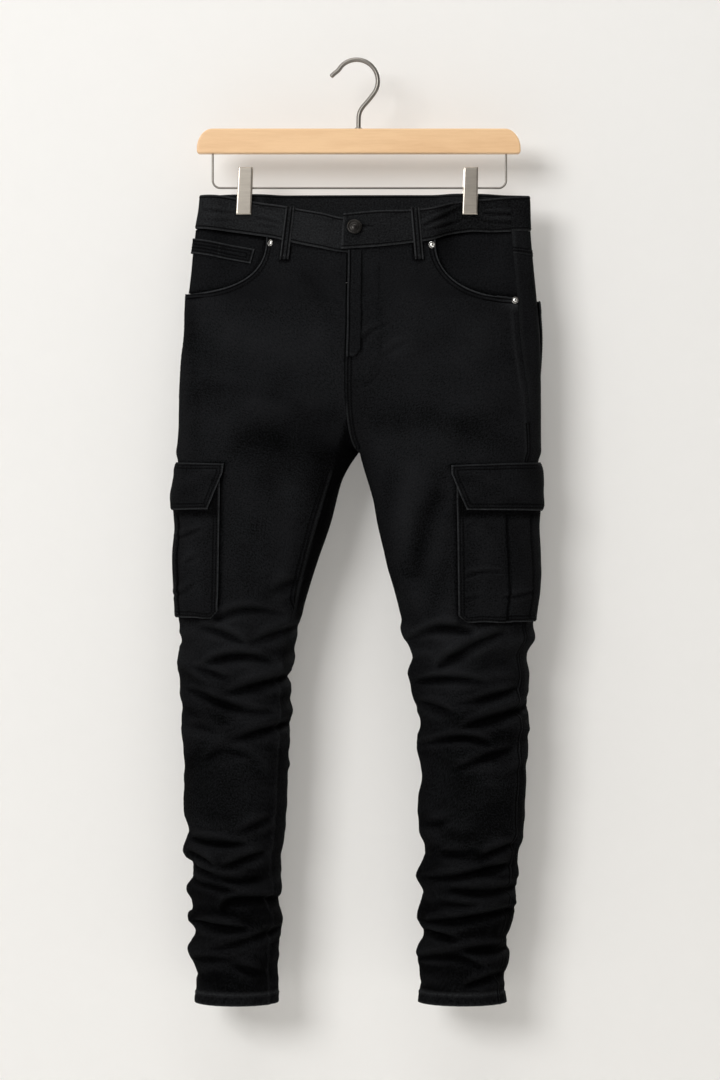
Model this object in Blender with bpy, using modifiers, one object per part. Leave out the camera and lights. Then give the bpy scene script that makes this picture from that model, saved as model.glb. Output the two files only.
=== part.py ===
"""Skinny cargo jeans hung flat by the waistband from a wooden clip hanger, at real size.

The frame is the hanging garment's own: +Z up, the front faces -Y, the wearer's left is +X.
The origin is the inside of the hook's crown. Table sizes are in millimetres, and a height is
given as the drop below the origin. "Right" and "left" are the wearer's.
"""

import math

import bmesh
import bpy
import numpy as np
from mathutils import Vector

MM = 0.001

# Cloth.
CLOTH = 1.6            # wall of a panel
GAP = 0.5              # between neighbouring pieces at a seam
CENTRE_GAP = 0.8       # between the two halves at the centre seams
BAND_OUT = 0.8         # how far the waistband stands out of the panels' surface
BAND_IN = -2.0
LOOP_THICK = 1.5
POCKET_THICK = 1.8
FLAP_THICK = 2.2
LIFT = 1.5             # from a panel to a pocket that lies on it
HEM_LIFT = 0.8
HEM_HEIGHT = 13.0

# Heights.
CROTCH = 468.0
RISE_CURVE = 90.0      # height over which the rise seam turns under the crotch
THIGH_BLEND = 150.0    # height over which the hips divide into the thighs
HEM = 1127.0
SCOOP_LAST = 286.0     # the last row that starts on a scoop, and the first that runs to the side seam
HIPS_FIRST_ROW = 302.0
SCOOP_CENTRE = 292.0    # where that last row meets the centre seam
TWIST_HEIGHT = 90.0    # below the crotch, where the inseams turn round the legs

# Seams, as angles round the garment: 0 is the +X side, 90 the front, 180 the -X side.
SIDE = {"right": 188.0, "left": 28.0}
LEG_SIDE = {"right": 195.0, "left": 28.0}
TWIST = {"right": 33.0, "left": 20.0}
CENTRE_FRONT = 95.0
CENTRE_BACK = 273.0
HIP_SQUARE = 0.85      # below 1 makes the hips' section fuller at the sides

# Hanger.
CLIP_X = {"right": -134.0, "left": 136.5}
STEM_X = 2.4
PINCHED = 3.2          # from the middle plane to the cloth inside a clip
PINCH_REACH = 34.0
PINCH_TOP, PINCH_FADE = 192.0, 85.0

# Outline and depths of the hips: x of both sides, and the depth before and behind the middle.
HIPS = (("drop", "right", "left", "front", "back"), (
    (150, -187, 206, 22, 23),
    (168, -188, 207, 23, 24),
    (200, -193, 208, 28, 30),
    (226, -197, 210, 34, 38),
    (254, -200, 213, 40, 47),
    (283, -204, 216, 45, 54),
    (320, -207, 219, 49, 60),
    (355, -211, 221, 51, 62),
    (390, -212, 222, 52, 61),
    (430, -214, 222, 52, 58),
    (470, -216, 220, 52, 54),
))
LEGS = {
    "right": (("drop", "outer", "inner", "front", "back"), (
        (310, -206, 3, 48, 58),
        (370, -212, 3, 52, 60),
        (460, -215, 3, 52, 54),
        (468, -216, 3, 52, 54),
        (478, -214, -4, 52, 54),
        (499, -213, -15, 52, 54),
        (521, -217, -22, 52, 54),
        (557, -214, -32, 51, 53),
        (595, -217, -45, 50, 52),
        (634, -215, -57, 49, 51),
        (672, -213, -68, 48, 50),
        (701, -211, -73, 47, 49),
        (716, -214, -77, 47, 48),
        (749, -211, -78, 45, 47),
        (806, -208, -80, 43, 45),
        (864, -207, -82, 42, 44),
        (902, -206, -84, 41, 43),
        (922, -200, -86, 41, 43),
        (945, -207, -89, 42, 43),
        (975, -195, -92, 40, 42),
        (993, -203, -91, 41, 43),
        (1008, -195, -93, 40, 42),
        (1027, -202, -88, 41, 43),
        (1040, -194, -91, 40, 41),
        (1066, -201, -93, 41, 42),
        (1090, -192, -93, 40, 41),
        (1127, -193, -94, 41, 42),
    )),
    "left": (("drop", "outer", "inner", "front", "back"), (
        (310, 218, 3, 48, 58),
        (370, 222, 3, 52, 60),
        (460, 221, 3, 52, 54),
        (468, 221, 3, 52, 54),
        (478, 218, 6, 52, 54),
        (499, 217, 12, 52, 54),
        (521, 218, 18, 52, 54),
        (557, 215, 25, 51, 53),
        (595, 217, 35, 50, 52),
        (634, 217, 45, 49, 51),
        (672, 212, 54, 48, 50),
        (691, 213, 56, 48, 49),
        (711, 204, 66, 47, 48),
        (732, 206, 62, 46, 48),
        (760, 203, 66, 45, 47),
        (787, 207, 76, 44, 46),
        (826, 204, 71, 43, 45),
        (845, 204, 77, 42, 44),
        (883, 202, 74, 42, 43),
        (922, 200, 75, 41, 43),
        (950, 195, 83, 41, 42),
        (975, 192, 71, 40, 42),
        (998, 191, 82, 41, 42),
        (1027, 189, 71, 40, 42),
        (1046, 180, 80, 39, 41),
        (1066, 184, 73, 40, 41),
        (1104, 176, 76, 39, 41),
        (1127, 179, 74, 40, 41),
    )),
}

# The waistband's top and bottom edges, by x on the front and by angle on the back.
BAND_FRONT = {
    "right": (("x", "top", "bottom"), (
        (-205, 160, 199),
        (-166, 161, 203),
        (-135, 166.5, 206.5),
        (-105, 172, 211.5),
        (-78, 177.5, 219),
        (-44, 183.5, 226),
        (-18, 188.5, 230.5),
        (24, 189.5, 230.5),
    )),
    "left": (("x", "top", "bottom"), (
        (-18, 184.5, 227.5),
        (27, 180.5, 224.5),
        (65, 179.5, 220),
        (90, 176.5, 216),
        (111, 170, 208.5),
        (134, 166.5, 204.5),
        (172, 164, 205.5),
        (215, 163, 204),
    )),
}
BAND_BACK = (("angle", "top", "bottom", "yoke"), (
    (-172, 160, 199, 229),
    (-130, 158, 199, 240),
    (-87, 157, 199, 262),
    (-40, 158, 201, 240),
    (28, 163, 204, 231),
))
OVERLAP_X = -16.0      # the left band's end, over the right band
UNDERLAP_X = 22.0
UNDERLAP_FROM, UNDERLAP_RUN, UNDERLAP_DEPTH = -42.0, 20.0, 3.3    # how the right band dips under it

# The scooped front pockets: the edge's two ends.
SCOOPS = {
    "right": {"x": -107.0, "top": 211.5, "bottom": 280.0},
    "left": {"x": 93.0, "top": 215.5, "bottom": 285.0},
}
SCOOP_SQUARE = 2.3     # exponent of the superellipse that the scoop follows

FOLD_DEPTH = 1.25      # over all the depths below

# Folds: a trough through three places (x, drop), its depth and half its width, and how far
# the ridge above it stands out. The front's follow the hanging garment as seen from before it.
FOLD = ("x1", "drop1", "x2", "drop2", "x3", "drop3", "depth", "width", "ridge")
FRONT_FOLDS = (FOLD, (
    # Right leg.
    (-166, 671, -135, 657, -92, 661, 3.0, 8, 1.5),
    (-183, 678, -160, 684, -137, 694, 3.5, 8, 2.0),
    (-123, 696, -96, 686, -70, 677, 3.5, 10, 2.0),
    (-176, 720, -140, 712, -102, 718, 4.5, 9, 2.5),
    (-195, 725, -175, 731, -154, 737, 2.5, 8, 1.0),
    (-152, 756, -115, 746, -82, 737, 5.0, 11, 2.5),
    (-193, 754, -145, 773, -104, 778, 3.5, 9, 2.0),
    (-200, 794, -184, 797, -166, 802, 2.0, 9, 1.0),
    (-145, 811, -115, 802, -85, 794, 4.0, 10, 2.0),
    (-176, 833, -152, 824, -116, 838, 2.5, 10, 1.0),
    (-142, 922, -122, 914, -102, 905, 2.5, 9, 1.0),
    (-192, 930, -162, 934, -133, 935, 4.5, 8, 2.5),
    (-157, 962, -134, 954, -111, 946, 4.0, 9, 2.0),
    (-200, 946, -184, 953, -171, 961, 3.5, 8, 1.5),
    (-195, 962, -160, 977, -116, 977, 4.5, 9, 2.5),
    (-193, 979, -168, 985, -142, 992, 4.0, 8, 2.0),
    (-157, 1015, -147, 1003, -102, 1001, 4.5, 9, 2.5),
    (-190, 1031, -160, 1035, -130, 1037, 5.0, 9, 2.5),
    (-174, 1061, -128, 1049, -92, 1039, 3.5, 9, 2.0),
    (-195, 1074, -174, 1073, -152, 1073, 2.5, 8, 1.0),
    (-145, 1079, -130, 1084, -114, 1090, 2.5, 8, 1.0),
    # Left leg.
    (64, 694, 98, 679, 136, 684, 4.5, 9, 2.5),
    (102, 722, 141, 698, 174, 684, 5.0, 10, 2.5),
    (71, 744, 107, 739, 148, 742, 4.5, 8, 2.5),
    (122, 768, 160, 761, 189, 751, 3.5, 9, 2.0),
    (76, 768, 94, 773, 112, 780, 2.5, 9, 1.0),
    (126, 797, 165, 785, 201, 773, 5.0, 11, 2.5),
    (77, 818, 119, 809, 155, 814, 4.5, 8, 2.5),
    (124, 844, 153, 833, 184, 823, 3.0, 9, 1.5),
    (83, 914, 96, 911, 110, 907, 2.0, 9, 1.0),
    (153, 948, 170, 942, 186, 936, 4.0, 9, 2.0),
    (100, 948, 115, 948, 131, 949, 2.5, 9, 1.0),
    (83, 978, 131, 972, 177, 962, 4.5, 9, 2.5),
    (117, 991, 152, 992, 186, 989, 5.5, 10, 2.5),
    (98, 1006, 119, 1007, 141, 1008, 2.5, 8, 1.0),
    (78, 1030, 112, 1027, 182, 1015, 4.5, 9, 2.5),
    (83, 1042, 101, 1045, 119, 1049, 4.0, 8, 2.0),
    (112, 1062, 145, 1061, 179, 1061, 5.5, 10, 2.5),
    (78, 1073, 116, 1069, 148, 1082, 4.0, 8, 2.0),
    (129, 1104, 150, 1098, 172, 1092, 3.5, 9, 2.0),
    # Broad drags over the hips and thighs.
    (-200, 338, -164, 358, -90, 382, 3.5, 24, 1.5),
    (-188, 408, -164, 413, -140, 418, 2.5, 16, 1.5),
    (-26, 430, -80, 440, -135, 462, 5.0, 18, 2.0),
    (-104, 502, -86, 528, -68, 554, 3.0, 16, 1.5),
    (-133, 588, -128, 606, -123, 626, 2.5, 12, 1.5),
    (-99, 636, -85, 629, -71, 622, 2.5, 11, 1.5),
    (81, 350, 98, 346, 114, 341, 2.5, 16, 1.5),
    (134, 449, 160, 435, 184, 420, 3.5, 18, 2.0),
    (100, 524, 82, 552, 62, 616, 4.0, 13, 2.0),
))
BACK_FOLDS = (FOLD, (
    (-190, 698, -150, 688, -92, 690, 3.5, 9, 1.0),
    (-198, 716, -165, 724, -130, 718, 4.0, 9, 2.0),
    (-150, 738, -118, 728, -86, 734, 4.5, 10, 2.5),
    (-198, 752, -165, 762, -130, 758, 4.5, 9, 2.5),
    (-176, 786, -132, 776, -92, 788, 4.5, 10, 2.5),
    (-196, 816, -160, 826, -126, 820, 3.5, 10, 2.0),
    (-140, 858, -116, 850, -92, 856, 2.5, 10, 1.0),
    (-192, 912, -150, 904, -108, 914, 3.5, 9, 2.0),
    (-168, 940, -134, 934, -100, 926, 4.5, 9, 2.5),
    (-196, 958, -156, 968, -112, 960, 5.0, 9, 2.5),
    (-180, 990, -140, 984, -104, 994, 4.5, 9, 2.5),
    (-194, 1016, -150, 1024, -108, 1014, 5.0, 9, 2.5),
    (-178, 1050, -140, 1042, -106, 1052, 4.5, 9, 2.0),
    (-190, 1082, -150, 1088, -112, 1080, 3.5, 9, 2.0),
    (72, 684, 116, 694, 176, 690, 3.5, 9, 1.0),
    (96, 712, 140, 702, 188, 710, 4.5, 10, 2.5),
    (74, 738, 110, 746, 150, 740, 4.0, 9, 2.0),
    (118, 770, 160, 762, 196, 772, 4.5, 10, 2.5),
    (84, 800, 122, 808, 168, 798, 4.5, 9, 2.0),
    (112, 846, 150, 838, 186, 848, 3.0, 10, 1.5),
    (86, 902, 118, 896, 150, 904, 2.5, 9, 1.0),
    (110, 936, 148, 944, 184, 934, 4.5, 9, 2.5),
    (84, 966, 120, 958, 162, 966, 4.5, 9, 2.5),
    (104, 994, 146, 1002, 182, 992, 5.0, 9, 2.5),
    (82, 1026, 120, 1018, 164, 1028, 4.5, 9, 2.5),
    (98, 1056, 138, 1064, 174, 1054, 5.0, 9, 2.5),
    (84, 1088, 118, 1082, 156, 1090, 3.5, 9, 2.0),
    # Drags under the seat and behind the knees.
    (-40, 452, -84, 470, -130, 492, 4.0, 18, 2.0),
    (-30, 486, -62, 510, -96, 540, 3.5, 15, 2.0),
    (60, 454, 104, 472, 150, 490, 4.0, 18, 2.0),
    (48, 490, 72, 514, 104, 544, 3.5, 15, 2.0),
))

# Cargo pockets: the body's front edge (x) and its drop at the mouth, its lower edge, and how far
# it reaches behind the side seam; then the flap's front edge at its top and foot.
CARGO = {
    "right": {"edge_top": -161.0, "edge_foot": -164.0, "top": 494.0, "foot": 666.0, "behind": 80.0,
              "flap_top": 483.0, "flap_foot": 537.0, "flap_edge_top": -157.0, "flap_edge_foot": -175.0},
    "left": {"edge_top": 118.0, "edge_foot": 121.0, "top": 496.0, "foot": 671.0, "behind": 80.0,
             "flap_top": 485.0, "flap_foot": 538.0, "flap_edge_top": 112.0, "flap_edge_foot": 130.0},
}
CHAMFER = 8.0
PLEAT = (1.0, 31.0)    # the box pleat's two edges, round the cloth from the side seam
PLEAT_STEP = 1.2       # how far it stands out, from below the flap down
PLEAT_FROM, PLEAT_RUN = 532.0, 20.0
FLAP_LIFT = 1.2        # from a pocket to its flap
FLAP_BEHIND, FLAP_TAPER = 5.0, 14.0
FLAP_ROWS = (0.0, 0.2, 0.6, 1.0)    # the first is sewn to the leg, the others lie over the pocket
FLAP_RISE = 0.04       # slope of its top edge, up towards the back

# Back patch pockets, measured round the cloth from the side seam.
BACK_POCKET = {"from_side": 37.0, "wide": 146.0, "narrow": 126.0, "top": 287.0, "side": 122.0, "point": 24.0}

# Belt loops: the front ones' places by x, the back ones' by their angle round the waist.
LOOP_WIDTH = 10.5
FRONT_LOOPS = {"right": {"x_top": -78.5, "x_foot": -85.5, "top": 176.5, "foot": 240.5},
               "left": {"x_top": 69.0, "x_foot": 74.0, "top": 177.5, "foot": 240.5}}
BACK_LOOPS = {"side_right": -157.0, "back": -87.0, "side_left": -18.0}
BACK_LOOP_BELOW = 1.5  # from the band's top edge
BACK_LOOP_FOOT = 215.0

BUTTON = {"x": -3.0, "drop": 202.0, "radius": 8.9}
RIVET_RADIUS = 4.2
RIVETS = (("x", "drop", "seat"), (
    (-102.0, 219.5, 1.0),
    (89.0, 222.5, 0.0),
    (188.0, 288.0, 0.6),
    (-200.0, 283.0, -0.6),
))


def read(table, name, at):
    """The named column at each value of the first one, on a smooth curve through the rows."""
    names, rows = table
    rows = np.array(rows, float)
    key, value = rows[:, 0], rows[:, names.index(name)]
    slope = np.gradient(value, key)
    at = np.clip(at, key[0], key[-1])
    i = np.clip(np.searchsorted(key, at) - 1, 0, len(key) - 2)
    span = key[i + 1] - key[i]
    s = (at - key[i]) / span
    return ((1 + 2 * s) * (1 - s) ** 2 * value[i] + s * (1 - s) ** 2 * span * slope[i]
            + s * s * (3 - 2 * s) * value[i + 1] + s * s * (s - 1) * span * slope[i + 1])


def ease(s):
    s = np.clip(s, 0.0, 1.0)
    return s * s * (3 - 2 * s)


def pinched(x, y, drop):
    """Draws the cloth together inside each clip."""
    fade = 1 - ease((drop - PINCH_TOP) / PINCH_FADE)
    for clip_x in CLIP_X.values():
        weight = fade * np.exp(-((x - clip_x) / PINCH_REACH) ** 4)
        y = y + weight * (np.sign(y) * np.minimum(np.abs(y), PINCHED) - y)
    return y


def ring(low, high, front, back, angle, square=1.0):
    """A point on an oval between two sides, deeper or shallower before and behind its middle."""
    turn = np.radians(angle)
    depth = np.where(np.sin(turn) > 0, front, back)
    y = -depth * np.sign(np.sin(turn)) * np.abs(np.sin(turn)) ** square
    return (low + high) / 2 + (high - low) / 2 * np.cos(turn), y


def hip_point(angle, drop):
    x, y = ring(*(read(HIPS, name, drop) for name in ("right", "left", "front", "back")), angle,
                HIP_SQUARE)
    return x, pinched(x, y, drop)


def front_angle(x, drop):
    """Angle at which the front of the hips has this x."""
    low, high = read(HIPS, "right", drop), read(HIPS, "left", drop)
    return np.degrees(np.arccos((2 * x - low - high) / (high - low)))


def front_t(side, x, drop):
    """t on the front of the hips at an x."""
    return (front_angle(x, drop) - SIDE[side]) / (CENTRE_FRONT - SIDE[side])


def leg_point(side, angle, drop):
    outer, inner, front, back = (read(LEGS[side], n, drop) for n in ("outer", "inner", "front", "back"))
    return ring(np.minimum(outer, inner), np.maximum(outer, inner), front, back, angle)


def seam_angles(side, face, drop):
    """Angles of the side seam and the inner seam on the hips, then on the leg."""
    twist = TWIST[side] * ease((drop - CROTCH) / TWIST_HEIGHT)
    if face == "front":
        return SIDE[side], CENTRE_FRONT, LEG_SIDE[side], (0.0 if side == "right" else 180.0) + twist
    centre = CENTRE_BACK if side == "right" else CENTRE_BACK - 360
    return SIDE[side], centre, LEG_SIDE[side], (360.0 if side == "right" else -180.0) + twist


def plain(side, face, t, drop):
    """The unfolded cloth: t runs from the side seam, 0, to the centre seam or inseam, 1."""
    hip_outer, hip_inner, leg_outer, leg_inner = seam_angles(side, face, drop)
    rise = np.clip((CROTCH - drop) / RISE_CURVE, 0.0, 1.0)
    at_centre = np.clip(t, 0, 1) ** 5
    hip = at_centre * np.sqrt(1 - (1 - rise) ** 2) + (1 - at_centre) * ease((CROTCH - drop) / THIGH_BLEND)
    hip_x, hip_y = hip_point(hip_outer + (hip_inner - hip_outer) * t, drop)
    leg_x, leg_y = leg_point(side, leg_outer + (leg_inner - leg_outer) * t, drop)
    apart = (-1 if side == "right" else 1) * CENTRE_GAP / 2
    x, y = hip * hip_x + (1 - hip) * leg_x + apart, hip * hip_y + (1 - hip) * leg_y
    return np.stack([x, y, -drop], axis=-1)


def outward(side, face, surface, t, drop):
    """Unit normals of a surface, pointing out of the garment."""
    along = surface(side, face, t + 2e-3, drop) - surface(side, face, t - 2e-3, drop)
    down = surface(side, face, t, drop + 0.5) - surface(side, face, t, drop - 0.5)
    normal = np.cross(along, down)
    normal /= np.linalg.norm(normal, axis=-1, keepdims=True)
    return normal if (side == "left") == (face == "front") else -normal


def folded(table, x, drop):
    """How far the folds of a table move the cloth out at each place."""
    names, rows = table
    total = np.zeros(np.shape(x))
    for row in rows:
        fold = dict(zip(names, row))
        nearest = np.full(np.shape(x), 1e9)
        above = np.zeros(np.shape(x))
        for a, b in (("1", "2"), ("2", "3")):
            ax, ad = fold["x" + a], fold["drop" + a]
            run, fall = fold["x" + b] - ax, fold["drop" + b] - ad
            length = math.hypot(run, fall)
            s = ((x - ax) * run + (drop - ad) * fall) / length ** 2
            near = np.clip(s, 0.0, 1.0)
            away = np.hypot(x - ax - near * run, drop - ad - near * fall)
            side = np.sign((drop - ad) * run - (x - ax) * fall) * (-1 if run > 0 else 1)
            taper = np.clip(np.abs(s - near) * length, 0, None)
            closer = away + taper < nearest
            nearest = np.where(closer, away + taper, nearest)
            above = np.where(closer, side * away, above)
        width = fold["width"]
        ends = np.exp(-((nearest - np.abs(above)) / (1.2 * width)) ** 2)
        trough = -fold["depth"] * np.exp(-(above / width) ** 2)
        ridge = fold["ridge"] * np.exp(-((above - 1.7 * width) / (1.2 * width)) ** 2)
        total += ends * (trough + ridge)
    return FOLD_DEPTH * total


def cloth(side, face, t, drop):
    """The garment's surface with its folds."""
    base = plain(side, face, t, drop)
    normal = outward(side, face, plain, t, drop)
    before = ease(0.5 - 1.2 * normal[..., 1])
    out = before * folded(FRONT_FOLDS, base[..., 0], drop)
    out = out + (1 - before) * folded(BACK_FOLDS, base[..., 0], drop)
    out = out * ease((HEM - 8 - drop) / 20)
    out = out * (1 - ease((t - 0.7) / 0.25) * ease((CROTCH + 45 - drop) / 30))
    return base + normal * out[..., None]


def raised(side, face, t, drop, out):
    """Points of the cloth moved out by a distance, which may differ from point to point."""
    normal = outward(side, face, cloth, t, drop)
    return cloth(side, face, t, drop) + normal * np.broadcast_to(out, np.shape(t))[..., None]


def run_of(side, face, drop):
    """Distances round one panel's row from the side seam, with their t."""
    steps = np.linspace(0, 1, 90)
    points = plain(side, face, steps, np.full(len(steps), float(drop)))
    run = np.concatenate([[0], np.cumsum(np.linalg.norm(np.diff(points, axis=0), axis=1))])
    return steps, points, run


def around(side, distance, drop, out=0.0):
    """Points at a distance round the cloth from the side seam, positive towards the front."""
    placed, out = np.zeros(distance.shape + (3,)), np.broadcast_to(out, distance.shape)
    for face, chosen in (("front", distance >= 0), ("back", distance < 0)):
        t = np.zeros(distance.shape)
        runs = {level: run_of(side, face, level) for level in np.unique(drop[chosen])}
        for where in np.argwhere(chosen):
            steps, _, run = runs[drop[tuple(where)]]
            t[tuple(where)] = np.interp(abs(distance[tuple(where)]), run, steps)
        placed = np.where(chosen[..., None], raised(side, face, t, drop, out), placed)
    return placed


def arc_at_x(side, x, drop):
    """Distance round the front from the side seam to an x on the front."""
    _, points, run = run_of(side, "front", drop)
    outermost = int(np.argmax(np.abs(points[:45, 0])))
    sign = 1 if side == "right" else -1
    return float(np.interp(sign * x, sign * points[outermost:, 0], run[outermost:]))


def material(name, colour, roughness, metallic=0.0):
    made = bpy.data.materials.new(name)
    made.use_nodes = True
    shader = made.node_tree.nodes["Principled BSDF"]
    shader.inputs["Base Color"].default_value = (*colour, 1)
    shader.inputs["Roughness"].default_value = roughness
    shader.inputs["Metallic"].default_value = metallic
    return made


def finish_object(obj, look):
    garment = bpy.data.collections["jeans_on_hanger"]
    for holder in list(obj.users_collection):
        holder.objects.unlink(obj)
    garment.objects.link(obj)
    if not obj.data.materials:
        obj.data.materials.append(look)
    return obj


def wall(name, outer, inner, look):
    """A closed wall between two grids of points in millimetres, made by one loft."""
    rows, columns = outer.shape[:2]
    mesh = bmesh.new()
    sheets = [[[mesh.verts.new(point * MM) for point in row] for row in grid] for grid in (outer, inner)]
    front, back = sheets
    for r in range(rows - 1):
        for c in range(columns - 1):
            a, b, d, e = (r, c), (r + 1, c), (r + 1, c + 1), (r, c + 1)
            falling = np.linalg.norm(outer[a] - outer[d]) <= np.linalg.norm(outer[b] - outer[e])
            for half in ((a, b, d), (a, d, e)) if falling else ((a, b, e), (b, d, e)):
                mesh.faces.new([front[i][j] for i, j in half])
                mesh.faces.new([back[i][j] for i, j in half[::-1]])
    edge = [(r, 0) for r in range(rows)] + [(rows - 1, c) for c in range(1, columns)]
    edge += [(r, columns - 1) for r in range(rows - 2, -1, -1)] + [(0, c) for c in range(columns - 2, 0, -1)]
    for a, b in zip(edge, edge[1:] + edge[:1]):
        (r, c), (r2, c2) = sorted((a, b))
        mesh.faces.new([front[r][c], front[r2][c2], back[r2][c2]])
        mesh.faces.new([front[r][c], back[r2][c2], back[r][c]])
    bmesh.ops.recalc_face_normals(mesh, faces=mesh.faces)
    data = bpy.data.meshes.new(name)
    mesh.to_mesh(data)
    mesh.free()
    data.shade_smooth()
    data.set_sharp_from_angle(angle=math.radians(50))
    return finish_object(bpy.data.objects.new(name, data), look)


def scoop_edge(side, f):
    """The scoop's edge as t and drop, from the waistband (0) to the side seam (1)."""
    scoop = SCOOPS[side]
    turn = f * math.pi / 2
    run = math.cos(turn) ** (2 / SCOOP_SQUARE)
    drop = scoop["top"] + (scoop["bottom"] - scoop["top"]) * math.sin(turn) ** (2 / SCOOP_SQUARE)
    start = float(front_angle(scoop["x"], drop))
    front_end = min(SIDE[side], 180.0)
    reach = math.cos(math.radians(front_end))
    angle = math.degrees(math.acos(reach - (reach - math.cos(math.radians(start))) * run))
    angle += (SIDE[side] - front_end) * (1 - run) ** 3
    return (angle - SIDE[side]) / (CENTRE_FRONT - SIDE[side]), drop


def rows_below(top):
    """Drops of a panel's rows: wide on the hips and thighs, close in the stacked folds."""
    turn = [CROTCH - RISE_CURVE * (1 - math.cos(math.radians(a))) for a in TURN_ANGLES]
    thigh = list(np.arange(CROTCH + 11, STACK_TOP - 9, THIGH_ROW))
    stacked = list(np.linspace(STACK_TOP, HEM - HEM_HEIGHT, STACK_ROWS))
    hem = [HEM - HEM_HEIGHT + 1.0, HEM]
    return [top, *HIP_ROWS] + turn + thigh + stacked + hem


COLUMNS = 7
SCOOP_ROWS = 9
SCOOP_CROWD = 1.8      # crowds its points towards the side seam, where the cloth turns most
HIP_ROWS = (320.0, 340.0, 359.0)
TURN_ANGLES = (90, 76, 62, 49, 37, 26, 16, 8, 0)
THIGH_ROW = 19.0
STACK_TOP, STACK_ROWS = 664.0, 48     # where the folded lower legs begin
YOKE_LEVEL = 240.0


def span(side, face, drop):
    """The t of both ends of a panel's row, half a gap short of each seam."""
    steps = np.linspace(0, 1, 60)
    points = plain(side, face, steps, np.full(len(steps), float(drop)))
    length = np.linalg.norm(np.diff(points, axis=0), axis=1).sum()
    return GAP / 2 / length, 1 - GAP / 2 / length


def front_seam(side, x):
    """Drop of the front panel's top edge, under the waistband."""
    return read(BAND_FRONT[side], "bottom", x) + GAP


def panel_grid(side, face):
    """t and drop of each point of a panel, and how far the hem stands out."""
    ts, drops = [], []
    u = np.linspace(0, 1, COLUMNS + 1)
    if face == "front":
        start, _ = scoop_edge(side, 0.0)
        x = waist_x(side, start + (1 - start) * u)
        seam = front_seam(side, x)
        bulge = seam - (seam[0] * (1 - u) + seam[-1] * u)
        low, high = span(side, face, SCOOP_LAST)
        for f in np.linspace(0, 1, SCOOP_ROWS + 1):
            edge_t, edge_drop = scoop_edge(side, 1 - (1 - f) ** SCOOP_CROWD)
            edge_t, edge_drop = max(edge_t, low), edge_drop if f > 0 else seam[0]
            centre = seam[-1] + (SCOOP_CENTRE - seam[-1]) * f
            ts.append(edge_t + (high - edge_t) * u)
            drops.append(edge_drop + (centre - edge_drop) * u + (1 - f) * bulge)
    else:
        row_t, seam = back_edge(side, "yoke")
        for f in (0.0, 0.5):
            ts.append(row_t)
            drops.append(seam + GAP + (HIPS_FIRST_ROW - seam - GAP) * f)
    for drop in rows_below(HIPS_FIRST_ROW):
        low, high = span(side, face, drop)
        ts.append(low + (high - low) * u)
        drops.append(np.full(COLUMNS + 1, drop))
    drops = np.array(drops)
    return np.array(ts), drops, np.where(drops > HEM - HEM_HEIGHT + 0.5, HEM_LIFT, 0.0)


def make_panel(side, face, look):
    t, drop, lift = panel_grid(side, face)
    wall(f"{face}_{side}", raised(side, face, t, drop, lift), raised(side, face, t, drop, -CLOTH), look)


def back_edge(side, name):
    """t and drop along an edge of the back of the waist, at the back panel's columns."""
    hip_outer, hip_inner, _, _ = seam_angles(side, "back", YOKE_LEVEL)
    low, high = span(side, "back", YOKE_LEVEL)
    t = np.linspace(low, high, COLUMNS + 1)
    angles = hip_outer + (hip_inner - hip_outer) * t
    return t, read(BAND_BACK, name, np.where(angles > 90, angles - 360, angles))


def make_yoke(side, look):
    t, top = back_edge(side, "bottom")
    foot = back_edge(side, "yoke")[1]
    t, v = np.tile(t, (4, 1)), np.linspace(0, 1, 4)[:, None]
    drop = top + GAP + (foot - top - GAP) * v
    wall(f"yoke_{side}", raised(side, "back", t, drop, 0.0), raised(side, "back", t, drop, -CLOTH), look)


FACING_BEHIND = 8.0    # how far a facing runs on behind the front panel
FACING_DEPTH = -3.8
FACING_CLOTH = 1.2
FACING_RISE = 0.7      # how much nearer the surface it is at the waistband
FACING_SIDE_RISE = 3.0 # and at the side seam, where nothing covers it
FACING_NEAREST = -0.5
FACING_REACH = 0.09    # as a part of t, past the scoop's upper end
FACING_CUT, FACING_CUT_FROM = 34.0, 0.45    # how its foot rises towards the front


def facing_end(side):
    return scoop_edge(side, 0.0)[0] + FACING_REACH


def facing_edges(side, t):
    """Drops of a facing's top, at the waistband's seam, and of its foot, just below the scoop."""
    rise = np.clip((t / facing_end(side) - FACING_CUT_FROM) / (1 - FACING_CUT_FROM), 0, 1) ** 2
    return front_seam(side, waist_x(side, t)), SCOOPS[side]["bottom"] + FACING_BEHIND - FACING_CUT * rise


def facing_depth(side, t, drop):
    top, foot = facing_edges(side, t)
    below = np.clip((drop - top) / (foot - top), 0, 1)
    side_rise = FACING_SIDE_RISE * (1 - t / facing_end(side)) ** 2 * (1 - below ** 6)
    return np.minimum(FACING_DEPTH + FACING_RISE * (1 - below) ** 3 + side_rise, FACING_NEAREST)


def make_facing(side, look):
    """A facing as it is seen through the scoop."""
    low, _ = span(side, "front", YOKE_LEVEL)
    t, v = np.meshgrid(np.linspace(low, facing_end(side), 11), np.linspace(0, 1, 7))
    top, foot = facing_edges(side, t)
    drop = top + (foot - top) * v
    depth = facing_depth(side, t, drop)
    outer = raised(side, "front", t, drop, depth)
    wall(f"facing_{side}", outer, raised(side, "front", t, drop, depth - FACING_CLOTH), look)


# The coin pocket: x of its slanting front edge, drop of its top at the side seam, how far that
# top falls towards the front, its height, and how far it lies off the facing.
COIN = {"x_top": -122.0, "x_foot": -126.5, "top": 212.5, "fall": 12.5, "height": 17.5,
        "lift": 1.1, "cloth": 1.0}


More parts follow.
